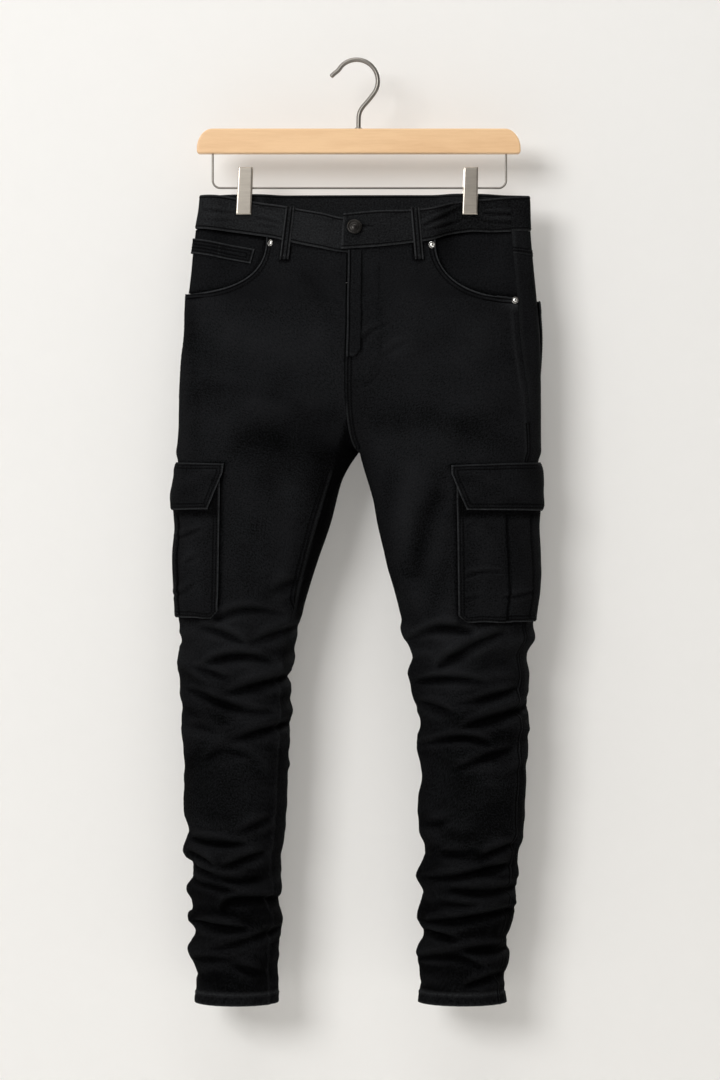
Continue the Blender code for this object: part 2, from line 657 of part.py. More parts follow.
def make_coin_pocket(look):
    """The narrow coin pocket on the right facing."""
    u, v = np.meshgrid(np.linspace(0, 1, 13), np.linspace(0, 1, 3))
    low = 2 * span("right", "front", YOKE_LEVEL)[0]
    end = COIN["x_top"] + (COIN["x_foot"] - COIN["x_top"]) * v
    t = low + (front_t("right", end, COIN["top"] + COIN["fall"] + COIN["height"] * v) - low) * u
    x = waist_x("right", t)
    fallen = (x - x[:, :1]) / (x[:, -1:] - x[:, :1])
    drop = COIN["top"] + COIN["fall"] * fallen + COIN["height"] * v
    lift = facing_depth("right", t, drop) + COIN["lift"]
    outer = raised("right", "front", t, drop, lift + COIN["cloth"])
    wall("coin_pocket", outer, raised("right", "front", t, drop, lift), look)


WAIST_LEVEL = 205.0    # where the x of the waistband's edges is read
BAND_LEVEL = 185.0


def waist_x(side, t):
    return plain(side, "front", t, np.full(np.shape(t), WAIST_LEVEL))[..., 0]


def make_band_front(side, look):
    low, _ = span(side, "front", BAND_LEVEL)
    end = front_t(side, UNDERLAP_X if side == "right" else OVERLAP_X, BAND_LEVEL)
    t = np.tile(np.linspace(low, end, 17), (4, 1))
    v = np.linspace(0, 1, 4)[:, None]
    x = waist_x(side, t)
    top, bottom = read(BAND_FRONT[side], "top", x), read(BAND_FRONT[side], "bottom", x)
    drop = top + (bottom - top) * v
    under = ease((x - UNDERLAP_FROM) / UNDERLAP_RUN) * UNDERLAP_DEPTH if side == "right" else 0.0
    outer = raised(side, "front", t, drop, BAND_OUT - under)
    wall(f"band_front_{side}", outer, raised(side, "front", t, drop, BAND_IN - under), look)


def back_ring(angle, drop, out):
    """Points on the back of the waist by their angle, moved out of the cloth."""
    placed = np.zeros(np.shape(angle) + (3,))
    for side, chosen in (("right", angle < CENTRE_BACK - 360), ("left", angle >= CENTRE_BACK - 360)):
        hip_outer, hip_inner, _, _ = seam_angles(side, "back", 200.0)
        turn = angle + 360 if side == "right" else angle
        t = (turn - hip_outer) / (hip_inner - hip_outer)
        points = raised(side, "back", t, drop, out)
        placed = np.where(chosen[..., None], points, placed)
    return placed


BAND_SHORT = 0.12      # degrees, at each side seam


def make_band_back(look):
    angle = np.linspace(SIDE["right"] - 360 + BAND_SHORT, SIDE["left"] - BAND_SHORT, 29)
    angle = np.tile(angle, (4, 1))
    v = np.linspace(0, 1, 4)[:, None]
    top, bottom = read(BAND_BACK, "top", angle), read(BAND_BACK, "bottom", angle)
    drop = top + (bottom - top) * v
    wall("band_back", back_ring(angle, drop, BAND_OUT), back_ring(angle, drop, BAND_IN), look)


LOOP_LIFT = BAND_OUT + 0.3
LOOP_LEVEL = 190.0


def make_front_loop(side, look):
    loop = FRONT_LOOPS[side]
    u, v = np.meshgrid(np.linspace(-0.5, 0.5, 3), np.linspace(0, 1, 7))
    x = loop["x_top"] + (loop["x_foot"] - loop["x_top"]) * v + LOOP_WIDTH * u
    drop = loop["top"] + (loop["foot"] - loop["top"]) * v
    t = front_t(side, x, drop)
    outer = raised(side, "front", t, drop, LOOP_LIFT + LOOP_THICK)
    wall(f"loop_front_{side}", outer, raised(side, "front", t, drop, LOOP_LIFT), look)


def make_back_loop(name, middle, look):
    u, v = np.meshgrid(np.linspace(-0.5, 0.5, 3), np.linspace(0, 1, 7))
    ends = back_ring(np.array([[middle - 1.0, middle + 1.0]]), np.full((1, 2), LOOP_LEVEL), 0.0)[0]
    per_degree = np.linalg.norm(ends[1] - ends[0]) / 2
    angle = middle + LOOP_WIDTH * u / per_degree
    top = read(BAND_BACK, "top", angle) + BACK_LOOP_BELOW
    drop = top + (BACK_LOOP_FOOT - top) * v
    outer = back_ring(angle, drop, LOOP_LIFT + LOOP_THICK)
    wall(f"loop_{name}", outer, back_ring(angle, drop, LOOP_LIFT), look)


FLY = {"x": -8.0, "width": 15.4, "top": 229.5, "height": 127.5, "round_from": 0.9, "rounded": 0.55,
       "lift": 0.4, "cloth": 1.1}


def make_fly(look):
    """The strip of the fly that stands out beside the centre seam, with a rounded foot."""
    u, v = np.meshgrid(np.linspace(0, 1, 5), np.linspace(0, 1, 9))
    narrowed = FLY["rounded"] * np.clip((v - FLY["round_from"]) / (1 - FLY["round_from"]), 0, 1) ** 2
    x = FLY["x"] + FLY["width"] * (1 - narrowed) * u
    drop = FLY["top"] + FLY["height"] * v
    t = np.minimum(front_t("left", x, BAND_LEVEL), 0.999)
    outer = raised("left", "front", t, drop, FLY["lift"] + FLY["cloth"])
    wall("fly_placket", outer, raised("left", "front", t, drop, FLY["lift"]), look)


def cargo_grid(side, rows, columns):
    """Distance round the leg and drop of each point of a cargo pocket, and how far its pleat stands out."""
    cargo = CARGO[side]
    distances, drops = [], []
    for level in [*np.linspace(cargo["top"], cargo["foot"] - CHAMFER, rows - 1), cargo["foot"]]:
        v = (level - cargo["top"]) / (cargo["foot"] - cargo["top"])
        front = arc_at_x(side, cargo["edge_top"] + (cargo["edge_foot"] - cargo["edge_top"]) * v, level)
        cut = max(0.0, level - cargo["foot"] + CHAMFER)
        ends = ((front - cut, PLEAT[1] + 0.6), (PLEAT[1] - 0.6, PLEAT[0] + 0.6),
                (PLEAT[0] - 0.6, cut - cargo["behind"]))
        distances.append(np.concatenate([np.linspace(*pair, n) for pair, n in zip(ends, columns)]))
        drops.append(np.full(sum(columns), level))
    distance, drop = np.array(distances), np.array(drops)
    pleat = (distance > PLEAT[0]) & (distance < PLEAT[1])
    return distance, drop, np.where(pleat, PLEAT_STEP * ease((drop - PLEAT_FROM) / PLEAT_RUN), 0.0)


def make_cargo(side, look):
    distance, drop, pleat = cargo_grid(side, 9, (6, 4, 6))
    outer = around(side, distance, drop, LIFT + POCKET_THICK + pleat)
    wall(f"cargo_{side}", outer, around(side, distance, drop, LIFT), look)


def make_flap(side, look):
    cargo = CARGO[side]
    columns = 16
    distance, drop, lift = (np.zeros((len(FLAP_ROWS), columns)) for _ in range(3))
    for r, v in enumerate(FLAP_ROWS):
        level = cargo["flap_top"] + (cargo["flap_foot"] - cargo["flap_top"]) * v
        slant = max(0.0, (v - FLAP_ROWS[1]) / (1 - FLAP_ROWS[1]))
        edge = cargo["flap_edge_top"] + (cargo["flap_edge_foot"] - cargo["flap_edge_top"]) * slant
        front = arc_at_x(side, edge, level)
        back = FLAP_TAPER * slant - FLAP_BEHIND - cargo["behind"]
        distance[r] = np.linspace(front, back, columns)
        drop[r] = level - FLAP_RISE * (front - distance[r]) * (1 - v)
        lift[r] = LIFT + (POCKET_THICK + FLAP_LIFT if v > 0 else 0.0)
    outer = around(side, distance, drop, lift + FLAP_THICK)
    wall(f"flap_{side}", outer, around(side, distance, drop, lift), look)


def make_back_pocket(side, look):
    pocket = BACK_POCKET
    u, v = np.meshgrid(np.linspace(0, 1, 11), np.linspace(0, 1, 7))
    middle = pocket["from_side"] + pocket["wide"] / 2
    width = pocket["wide"] + (pocket["narrow"] - pocket["wide"]) * v
    distance = -(middle + (u - 0.5) * width)
    drop = pocket["top"] + v * (pocket["side"] + pocket["point"] * (1 - np.abs(2 * u - 1)))
    lift = LIFT + 0.3
    outer = around(side, distance, drop, lift + POCKET_THICK)
    wall(f"back_pocket_{side}", outer, around(side, distance, drop, lift), look)


def front_place(x, drop):
    """A place on the front of the hips and its outward direction, in millimetres."""
    side = "left" if x > OVERLAP_X else "right"
    at = np.array([float(drop)])
    t = front_t(side, x, at)
    return cloth(side, "front", t, at)[0], outward(side, "front", cloth, t, at)[0]


def turned(name, profile, place, direction, look, steps=12):
    """A turned piece: a profile of (radius, height) round an axis, foot first."""
    data = bpy.data.meshes.new(name)
    points = [(r * MM, 0, h * MM) for r, h in profile]
    data.from_pydata(points, [(i, i + 1) for i in range(len(points) - 1)], [])
    obj = finish_object(bpy.data.objects.new(name, data), look)
    screw = obj.modifiers.new("turn", "SCREW")
    screw.steps = screw.render_steps = steps
    screw.use_merge_vertices = True
    screw.merge_threshold = 0.00001
    obj.location = [c * MM for c in place]
    obj.rotation_mode = "QUATERNION"
    obj.rotation_quaternion = Vector(direction).to_track_quat("Z", "Y")


def make_button(look):
    place, direction = front_place(BUTTON["x"], BUTTON["drop"])
    radius = BUTTON["radius"]
    seat = BAND_OUT + 0.3
    profile = [(0, seat + 4.6), (radius * 0.55, seat + 4.8), (radius * 0.72, seat + 5.4),
               (radius * 0.93, seat + 5.3), (radius, seat + 4.6), (radius, seat + 3.6),
               (radius * 0.9, seat + 2.8), (radius * 0.45, seat + 2.6), (radius * 0.42, seat), (0, seat)]
    turned("button", profile, place, direction, look, steps=18)


def make_rivets(look):
    for number, (x, drop, seat) in enumerate(RIVETS[1], start=1):
        place, direction = front_place(x, drop)
        profile = [(0, seat + 1.7), (RIVET_RADIUS * 0.45, seat + 1.6), (RIVET_RADIUS * 0.8, seat + 1.1),
                   (RIVET_RADIUS, seat + 0.4), (RIVET_RADIUS, seat), (0, seat)]
        turned(f"rivet_{number}", profile, place, direction, look)


def wire_curve(name, points, diameter, look, resolution=2):
    curve = bpy.data.curves.new(name, "CURVE")
    curve.dimensions = "3D"
    curve.bevel_depth = diameter / 2 * MM
    curve.bevel_resolution = resolution
    curve.use_fill_caps = True
    spline = curve.splines.new("POLY")
    spline.points.add(len(points) - 1)
    for point, (x, z) in zip(spline.points, points):
        point.co = (x * MM, 0, z * MM, 1)
    return finish_object(bpy.data.objects.new(name, curve), look)


def smooth_path(points, each=5):
    """A Catmull-Rom curve through hand-placed points."""
    points = [np.array(p, float) for p in points]
    points = [2 * points[0] - points[1]] + points + [2 * points[-1] - points[-2]]
    path = []
    for a, b, c, d in zip(points, points[1:], points[2:], points[3:]):
        for s in np.linspace(0, 1, each, endpoint=False):
            path.append(0.5 * (2 * b + (c - a) * s + (2 * a - 5 * b + 4 * c - d) * s * s
                               + (3 * b - a - 3 * c + d) * s ** 3))
    return path + [points[-2]]


HOOK_WIRE = 5.5
HOOK_RADIUS = 25.5
BAR_TOP, BAR_FOOT = -80.4, -110.4
BAR_ENDS = (-191.6, 196.6)
BAR_THICK = 13.0
WIRE = 2.5
WIRE_X = (-172.7, 179.3)
WIRE_FOOT = -151.2
WIRE_BEND = 9.0
HOLE_DEEP = 12.0


def make_hook(look):
    centre = HOOK_WIRE / 2 - HOOK_RADIUS
    arc = [(HOOK_RADIUS * math.cos(math.radians(a)), centre + HOOK_RADIUS * math.sin(math.radians(a)))
           for a in range(150, -31, -20)]
    neck = [(14.5, -45.6), (7.0, -54.5), (3.4, -61.5), (STEM_X, -70.0), (STEM_X, BAR_TOP - HOLE_DEEP + 1)]
    tip = [(-30.0, -17.0), (-26.5, -13.6)]
    wire_curve("hanger_hook", smooth_path(tip + arc + neck, each=2), HOOK_WIRE, look)


def make_wire(look):
    low, high = WIRE_X
    bend = [(1 - math.cos(math.radians(a)), 1 - math.sin(math.radians(a))) for a in range(0, 91, 18)]
    left = [(low + WIRE_BEND * x, WIRE_FOOT + WIRE_BEND * y) for x, y in bend]
    right = [(high - WIRE_BEND * x, WIRE_FOOT + WIRE_BEND * y) for x, y in bend[::-1]]
    top = BAR_FOOT + HOLE_DEEP - 1
    wire_curve("hanger_wire", [(low, top)] + left + right + [(high, top)], WIRE, look, resolution=1)


def cutter(name, x, z, length, radius):
    bpy.ops.mesh.primitive_cylinder_add(vertices=12, radius=radius * MM, depth=length * MM,
                                        location=(x * MM, 0, z * MM))
    obj = bpy.context.active_object
    obj.name = name
    obj.hide_render = True
    obj.display_type = "WIRE"
    for holder in list(obj.users_collection):
        holder.objects.unlink(obj)
    bpy.data.collections["cutters"].objects.link(obj)
    return obj


def make_bar(look):
    """The wooden bar: rounded shoulders, square foot, eased edges, and holes for its wires."""
    low, high = BAR_ENDS
    shoulder_x, shoulder_z, corner = 19.0, 24.0, 3.5
    quarter = [(math.sin(math.radians(a)), math.cos(math.radians(a))) for a in range(0, 91, 15)]
    outline = [(high + shoulder_x * (s - 1), BAR_TOP + shoulder_z * (c - 1)) for s, c in quarter]
    outline += [(high - corner + corner * c, BAR_FOOT + corner - corner * s) for s, c in quarter[::2]]
    middle = (low + high) / 2
    outline += [(2 * middle - x, z) for x, z in outline[::-1]]
    mesh = bmesh.new()
    face = mesh.faces.new([mesh.verts.new((x * MM, -BAR_THICK / 2 * MM, z * MM)) for x, z in outline])
    made = bmesh.ops.extrude_face_region(mesh, geom=[face])
    moved = [v for v in made["geom"] if isinstance(v, bmesh.types.BMVert)]
    bmesh.ops.translate(mesh, verts=moved, vec=(0, BAR_THICK * MM, 0))
    bmesh.ops.recalc_face_normals(mesh, faces=mesh.faces)
    data = bpy.data.meshes.new("hanger_bar")
    mesh.to_mesh(data)
    mesh.free()
    obj = finish_object(bpy.data.objects.new("hanger_bar", data), look)
    bevel = obj.modifiers.new("edges", "BEVEL")
    bevel.width = 2.2 * MM
    bevel.segments = 2
    bevel.limit_method = "ANGLE"
    bevel.angle_limit = math.radians(50)
    holes = [(STEM_X, BAR_TOP, HOOK_WIRE / 2 + 0.3)] + [(x, BAR_FOOT, WIRE / 2 + 0.3) for x in WIRE_X]
    for number, (x, z, radius) in enumerate(holes):
        cut = obj.modifiers.new(f"hole_{number}", "BOOLEAN")
        cut.object = cutter(f"bar_hole_{number}", x, z, 2 * HOLE_DEEP, radius)


CLIP_WIDTH = 17.0
CLIP_PLATE = 1.2
CLIP_FLARE = 1.6       # how much wider the jaw is than the top
CLIP_TOP, CLIP_JAW = -127.0, -184.0
CLIP_GRIP = PINCHED + BAND_OUT + 1.4
CLIP_SPLAY = 0.04      # slope of each plate away from the middle, upwards
CLIP_TILT = {"right": 0.044, "left": 0.026}    # slope towards +X, upwards
ROLL_RADIUS = CLIP_GRIP + CLIP_SPLAY * (WIRE_FOOT - CLIP_JAW) - 0.3
ROLL_LENGTH = 12.0


def make_clip(side, look):
    """Two flat plates and the spring roll between them, which holds the wire."""
    for face, way in (("front", -1), ("back", 1)):
        mesh = bmesh.new()
        corners = []
        for z in (CLIP_TOP, CLIP_JAW):
            middle = CLIP_X[side] + CLIP_TILT[side] * (z - WIRE_FOOT)
            half = (CLIP_WIDTH + CLIP_FLARE * (CLIP_TOP - z) / (CLIP_TOP - CLIP_JAW)) / 2
            y = way * (CLIP_GRIP + CLIP_SPLAY * (z - CLIP_JAW))
            corners.append([mesh.verts.new(((middle + s * half) * MM, y * MM, z * MM)) for s in (-1, 1)])
        top, jaw = corners
        mesh.faces.new([top[0], top[1], jaw[1], jaw[0]][::-way])
        name = f"clip_{face}_{side}"
        data = bpy.data.meshes.new(name)
        mesh.to_mesh(data)
        mesh.free()
        obj = finish_object(bpy.data.objects.new(name, data), look)
        solid = obj.modifiers.new("plate", "SOLIDIFY")
        solid.thickness = CLIP_PLATE * MM
        solid.offset = -1.0
    make_roll(f"clip_roll_{side}", CLIP_X[side], look)


def make_roll(name, x, look):
    """A tube round the wire, turned from a closed profile."""
    data = bpy.data.meshes.new(name)
    hole = WIRE / 2 + 0.3
    half = ROLL_LENGTH / 2
    points = [(hole, half), (ROLL_RADIUS, half), (ROLL_RADIUS, -half), (hole, -half)]
    corners = [(r * MM, 0, h * MM) for r, h in points]
    data.from_pydata(corners, [(0, 1), (1, 2), (2, 3), (3, 0)], [])
    obj = finish_object(bpy.data.objects.new(name, data), look)
    screw = obj.modifiers.new("turn", "SCREW")
    screw.steps = screw.render_steps = 14
    screw.use_merge_vertices = True
    screw.merge_threshold = 0.00001
    obj.location = (x * MM, 0, WIRE_FOOT * MM)
    obj.rotation_euler = (0, math.radians(90), 0)


def main():
    for obj in list(bpy.data.objects):
        bpy.data.objects.remove(obj, do_unlink=True)
    for name in ("jeans_on_hanger", "cutters"):
        bpy.context.scene.collection.children.link(bpy.data.collections.new(name))
    denim = material("denim", (0.010, 0.010, 0.011), 0.85)
    facing = material("denim_facing", (0.012, 0.012, 0.013), 0.85)
    bronze = material("button_bronze", (0.05, 0.045, 0.04), 0.35, 1.0)
    silver = material("rivet_silver", (0.75, 0.74, 0.72), 0.25, 1.0)
    wood = material("wood", (0.82, 0.58, 0.35), 0.45)
    steel = material("steel", (0.60, 0.57, 0.52), 0.3, 1.0)
    for side in ("right", "left"):
        for face in ("front", "back"):
            make_panel(side, face, denim)
        make_yoke(side, denim)
        make_facing(side, facing)
        make_band_front(side, denim)
        make_front_loop(side, denim)
        make_cargo(side, denim)
        make_flap(side, denim)
        make_back_pocket(side, denim)
        make_clip(side, steel)
    make_coin_pocket(facing)
    make_band_back(denim)
    for name, middle in BACK_LOOPS.items():
        make_back_loop(name, middle, denim)
    make_fly(denim)
    make_button(bronze)
    make_rivets(silver)
    make_hook(steel)
    make_wire(steel)
    make_bar(wood)


main()
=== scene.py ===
"""Washed black skinny cargo jeans on a wooden clip hanger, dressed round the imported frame.

Sizes in the tables are millimetres, in the frame of the part: a height is the drop below the
inside of the hook's crown, x is the wearer's left, and the front faces -Y. The cloth's surface
is worked out by the same functions as the solids', only finer.
"""

import math
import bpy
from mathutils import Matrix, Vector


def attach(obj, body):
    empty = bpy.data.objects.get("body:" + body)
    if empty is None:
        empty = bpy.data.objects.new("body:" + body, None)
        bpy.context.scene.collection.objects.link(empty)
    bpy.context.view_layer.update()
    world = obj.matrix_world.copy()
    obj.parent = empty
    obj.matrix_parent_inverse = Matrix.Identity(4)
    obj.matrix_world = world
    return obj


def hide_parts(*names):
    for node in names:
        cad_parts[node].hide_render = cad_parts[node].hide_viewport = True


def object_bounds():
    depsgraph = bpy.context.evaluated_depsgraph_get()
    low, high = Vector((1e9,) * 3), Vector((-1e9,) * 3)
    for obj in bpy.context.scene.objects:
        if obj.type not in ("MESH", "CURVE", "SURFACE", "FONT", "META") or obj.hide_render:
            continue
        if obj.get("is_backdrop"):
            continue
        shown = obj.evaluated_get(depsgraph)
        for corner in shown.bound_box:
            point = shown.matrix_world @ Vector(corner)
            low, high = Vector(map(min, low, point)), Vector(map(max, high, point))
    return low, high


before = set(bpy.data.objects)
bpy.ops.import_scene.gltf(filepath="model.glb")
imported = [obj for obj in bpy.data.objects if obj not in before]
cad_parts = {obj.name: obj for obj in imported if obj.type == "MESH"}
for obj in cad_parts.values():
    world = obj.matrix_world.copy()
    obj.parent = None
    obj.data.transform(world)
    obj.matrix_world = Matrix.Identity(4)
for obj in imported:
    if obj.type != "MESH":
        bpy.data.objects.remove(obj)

from types import SimpleNamespace

import bmesh
import bpy
import numpy as np
from mathutils import Vector

CAD_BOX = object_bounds()
MM = 0.001

# Cloth.
GAP = 0.5              # between neighbouring pieces at a seam
CENTRE_GAP = 0.8       # between the two halves at the centre seams
BAND_OUT = 0.8         # how far the waistband stands out of the panels' surface
LOOP_THICK = 1.5
POCKET_THICK = 1.8
FLAP_THICK = 2.2
LIFT = 1.5             # from a panel to a pocket that lies on it
HEM_HEIGHT = 13.0
HEM_STITCHED = 1114.0  # HEM less HEM_HEIGHT, where the hem's fold is sewn down

# Heights.
CROTCH = 468.0
RISE_CURVE = 90.0      # height over which the rise seam turns under the crotch
THIGH_BLEND = 150.0    # height over which the hips divide into the thighs
HEM = 1127.0
SCOOP_LAST = 286.0     # the last row that starts on a scoop, and the first that runs to the side seam
HIPS_FIRST_ROW = 302.0
SCOOP_CENTRE = 292.0    # where that last row meets the centre seam
TWIST_HEIGHT = 90.0    # below the crotch, where the inseams turn round the legs
SIDE_TURN = 430.0      # above it the side seams' stitches are behind them, and below it the left's before

# Seams, as angles round the garment: 0 is the +X side, 90 the front, 180 the -X side.
SIDE = {"right": 188.0, "left": 28.0}
LEG_SIDE = {"right": 195.0, "left": 28.0}
TWIST = {"right": 33.0, "left": 20.0}
CENTRE_FRONT = 95.0
CENTRE_BACK = 273.0
HIP_SQUARE = 0.85      # below 1 makes the hips' section fuller at the sides

# Hanger.
CLIP_X = {"right": -134.0, "left": 136.5}
STEM_X = 2.4
PINCHED = 3.2          # from the middle plane to the cloth inside a clip
PINCH_REACH = 34.0
PINCH_TOP, PINCH_FADE = 192.0, 85.0

# Outline and depths of the hips: x of both sides, and the depth before and behind the middle.
HIPS = (("drop", "right", "left", "front", "back"), (
    (150, -187, 206, 22, 23), (168, -188, 207, 23, 24), (200, -193, 208, 28, 30),
    (226, -197, 210, 34, 38), (254, -200, 213, 40, 47), (283, -204, 216, 45, 54),
    (320, -207, 219, 49, 60), (355, -211, 221, 51, 62), (390, -212, 222, 52, 61),
    (430, -214, 222, 52, 58), (470, -216, 220, 52, 54),
))
LEGS = {
    "right": (("drop", "outer", "inner", "front", "back"), (
        (310, -206, 3, 48, 58), (370, -212, 3, 52, 60), (460, -215, 3, 52, 54), (468, -216, 3, 52, 54),
        (478, -214, -4, 52, 54), (499, -213, -15, 52, 54), (521, -217, -22, 52, 54),
        (557, -214, -32, 51, 53), (595, -217, -45, 50, 52), (634, -215, -57, 49, 51),
        (672, -213, -68, 48, 50), (701, -211, -73, 47, 49), (716, -214, -77, 47, 48),
        (749, -211, -78, 45, 47), (806, -208, -80, 43, 45), (864, -207, -82, 42, 44),
        (902, -206, -84, 41, 43), (922, -200, -86, 41, 43), (945, -207, -89, 42, 43),
        (975, -195, -92, 40, 42), (993, -203, -91, 41, 43), (1008, -195, -93, 40, 42),
        (1027, -202, -88, 41, 43), (1040, -194, -91, 40, 41), (1066, -201, -93, 41, 42),
        (1090, -192, -93, 40, 41), (1127, -193, -94, 41, 42),
    )),
    "left": (("drop", "outer", "inner", "front", "back"), (
        (310, 218, 3, 48, 58), (370, 222, 3, 52, 60), (460, 221, 3, 52, 54), (468, 221, 3, 52, 54),
        (478, 218, 6, 52, 54), (499, 217, 12, 52, 54), (521, 218, 18, 52, 54), (557, 215, 25, 51, 53),
        (595, 217, 35, 50, 52), (634, 217, 45, 49, 51), (672, 212, 54, 48, 50), (691, 213, 56, 48, 49),
        (711, 204, 66, 47, 48), (732, 206, 62, 46, 48), (760, 203, 66, 45, 47), (787, 207, 76, 44, 46),
        (826, 204, 71, 43, 45), (845, 204, 77, 42, 44), (883, 202, 74, 42, 43), (922, 200, 75, 41, 43),
        (950, 195, 83, 41, 42), (975, 192, 71, 40, 42), (998, 191, 82, 41, 42), (1027, 189, 71, 40, 42),
        (1046, 180, 80, 39, 41), (1066, 184, 73, 40, 41), (1104, 176, 76, 39, 41),
        (1127, 179, 74, 40, 41),
    )),
}

# The waistband's top and bottom edges, by x on the front and by angle on the back.
BAND_FRONT = {
    "right": (("x", "top", "bottom"), (
        (-205, 160, 199), (-166, 161, 203), (-135, 166.5, 206.5), (-105, 172, 211.5), (-78, 177.5, 219),
        (-44, 183.5, 226), (-18, 188.5, 230.5), (24, 189.5, 230.5),
    )),
    "left": (("x", "top", "bottom"), (
        (-18, 184.5, 227.5), (27, 180.5, 224.5), (65, 179.5, 220), (90, 176.5, 216), (111, 170, 208.5),
        (134, 166.5, 204.5), (172, 164, 205.5), (215, 163, 204),
    )),
}
BAND_BACK = (("angle", "top", "bottom", "yoke"), (
    (-172, 160, 199, 229), (-130, 158, 199, 240), (-87, 157, 199, 262), (-40, 158, 201, 240),
    (28, 163, 204, 231),
))
OVERLAP_X = -16.0      # the left band's end, over the right band
UNDERLAP_X = 22.0
UNDERLAP_FROM, UNDERLAP_RUN, UNDERLAP_DEPTH = -42.0, 20.0, 3.3    # how the right band dips under it

# The scooped front pockets: the edge's two ends.
SCOOPS = {
    "right": {"x": -107.0, "top": 211.5, "bottom": 280.0},
    "left": {"x": 93.0, "top": 215.5, "bottom": 285.0},
}
SCOOP_SQUARE = 2.3     # exponent of the superellipse that the scoop follows
SCOOP_ROLL = 5.5       # width of its turned edge

FOLD_DEPTH = 1.25      # over all the depths below

# Folds: a trough through three places (x, drop), its depth and half its width, and how far
# the ridge above it stands out. The front's follow the hanging garment as seen from before it.
FOLD = ("x1", "drop1", "x2", "drop2", "x3", "drop3", "depth", "width", "ridge")
FRONT_FOLDS = (FOLD, (
    # Right leg.
    (-166, 671, -135, 657, -92, 661, 3.0, 8, 1.5), (-183, 678, -160, 684, -137, 694, 3.5, 8, 2.0),
    (-123, 696, -96, 686, -70, 677, 3.5, 10, 2.0), (-176, 720, -140, 712, -102, 718, 4.5, 9, 2.5),
    (-195, 725, -175, 731, -154, 737, 2.5, 8, 1.0), (-152, 756, -115, 746, -82, 737, 5.0, 11, 2.5),
    (-193, 754, -145, 773, -104, 778, 3.5, 9, 2.0), (-200, 794, -184, 797, -166, 802, 2.0, 9, 1.0),
    (-145, 811, -115, 802, -85, 794, 4.0, 10, 2.0), (-176, 833, -152, 824, -116, 838, 2.5, 10, 1.0),
    (-142, 922, -122, 914, -102, 905, 2.5, 9, 1.0), (-192, 930, -162, 934, -133, 935, 4.5, 8, 2.5),
    (-157, 962, -134, 954, -111, 946, 4.0, 9, 2.0), (-200, 946, -184, 953, -171, 961, 3.5, 8, 1.5),
    (-195, 962, -160, 977, -116, 977, 4.5, 9, 2.5), (-193, 979, -168, 985, -142, 992, 4.0, 8, 2.0),
    (-157, 1015, -147, 1003, -102, 1001, 4.5, 9, 2.5), (-190, 1031, -160, 1035, -130, 1037, 5.0, 9, 2.5),
    (-174, 1061, -128, 1049, -92, 1039, 3.5, 9, 2.0), (-195, 1074, -174, 1073, -152, 1073, 2.5, 8, 1.0),
    (-145, 1079, -130, 1084, -114, 1090, 2.5, 8, 1.0),
    # Left leg.
    (64, 694, 98, 679, 136, 684, 4.5, 9, 2.5), (102, 722, 141, 698, 174, 684, 5.0, 10, 2.5),
    (71, 744, 107, 739, 148, 742, 4.5, 8, 2.5), (122, 768, 160, 761, 189, 751, 3.5, 9, 2.0),
    (76, 768, 94, 773, 112, 780, 2.5, 9, 1.0), (126, 797, 165, 785, 201, 773, 5.0, 11, 2.5),
    (77, 818, 119, 809, 155, 814, 4.5, 8, 2.5), (124, 844, 153, 833, 184, 823, 3.0, 9, 1.5),
    (83, 914, 96, 911, 110, 907, 2.0, 9, 1.0), (153, 948, 170, 942, 186, 936, 4.0, 9, 2.0),
    (100, 948, 115, 948, 131, 949, 2.5, 9, 1.0), (83, 978, 131, 972, 177, 962, 4.5, 9, 2.5),
    (117, 991, 152, 992, 186, 989, 5.5, 10, 2.5), (98, 1006, 119, 1007, 141, 1008, 2.5, 8, 1.0),
    (78, 1030, 112, 1027, 182, 1015, 4.5, 9, 2.5), (83, 1042, 101, 1045, 119, 1049, 4.0, 8, 2.0),
    (112, 1062, 145, 1061, 179, 1061, 5.5, 10, 2.5), (78, 1073, 116, 1069, 148, 1082, 4.0, 8, 2.0),
    (129, 1104, 150, 1098, 172, 1092, 3.5, 9, 2.0),
    # Broad drags over the hips and thighs.
    (-200, 338, -164, 358, -90, 382, 3.5, 24, 1.5), (-188, 408, -164, 413, -140, 418, 2.5, 16, 1.5),
    (-26, 430, -80, 440, -135, 462, 5.0, 18, 2.0), (-104, 502, -86, 528, -68, 554, 3.0, 16, 1.5),
    (-133, 588, -128, 606, -123, 626, 2.5, 12, 1.5), (-99, 636, -85, 629, -71, 622, 2.5, 11, 1.5),
    (81, 350, 98, 346, 114, 341, 2.5, 16, 1.5), (134, 449, 160, 435, 184, 420, 3.5, 18, 2.0),
    (100, 524, 82, 552, 62, 616, 4.0, 13, 2.0),
))
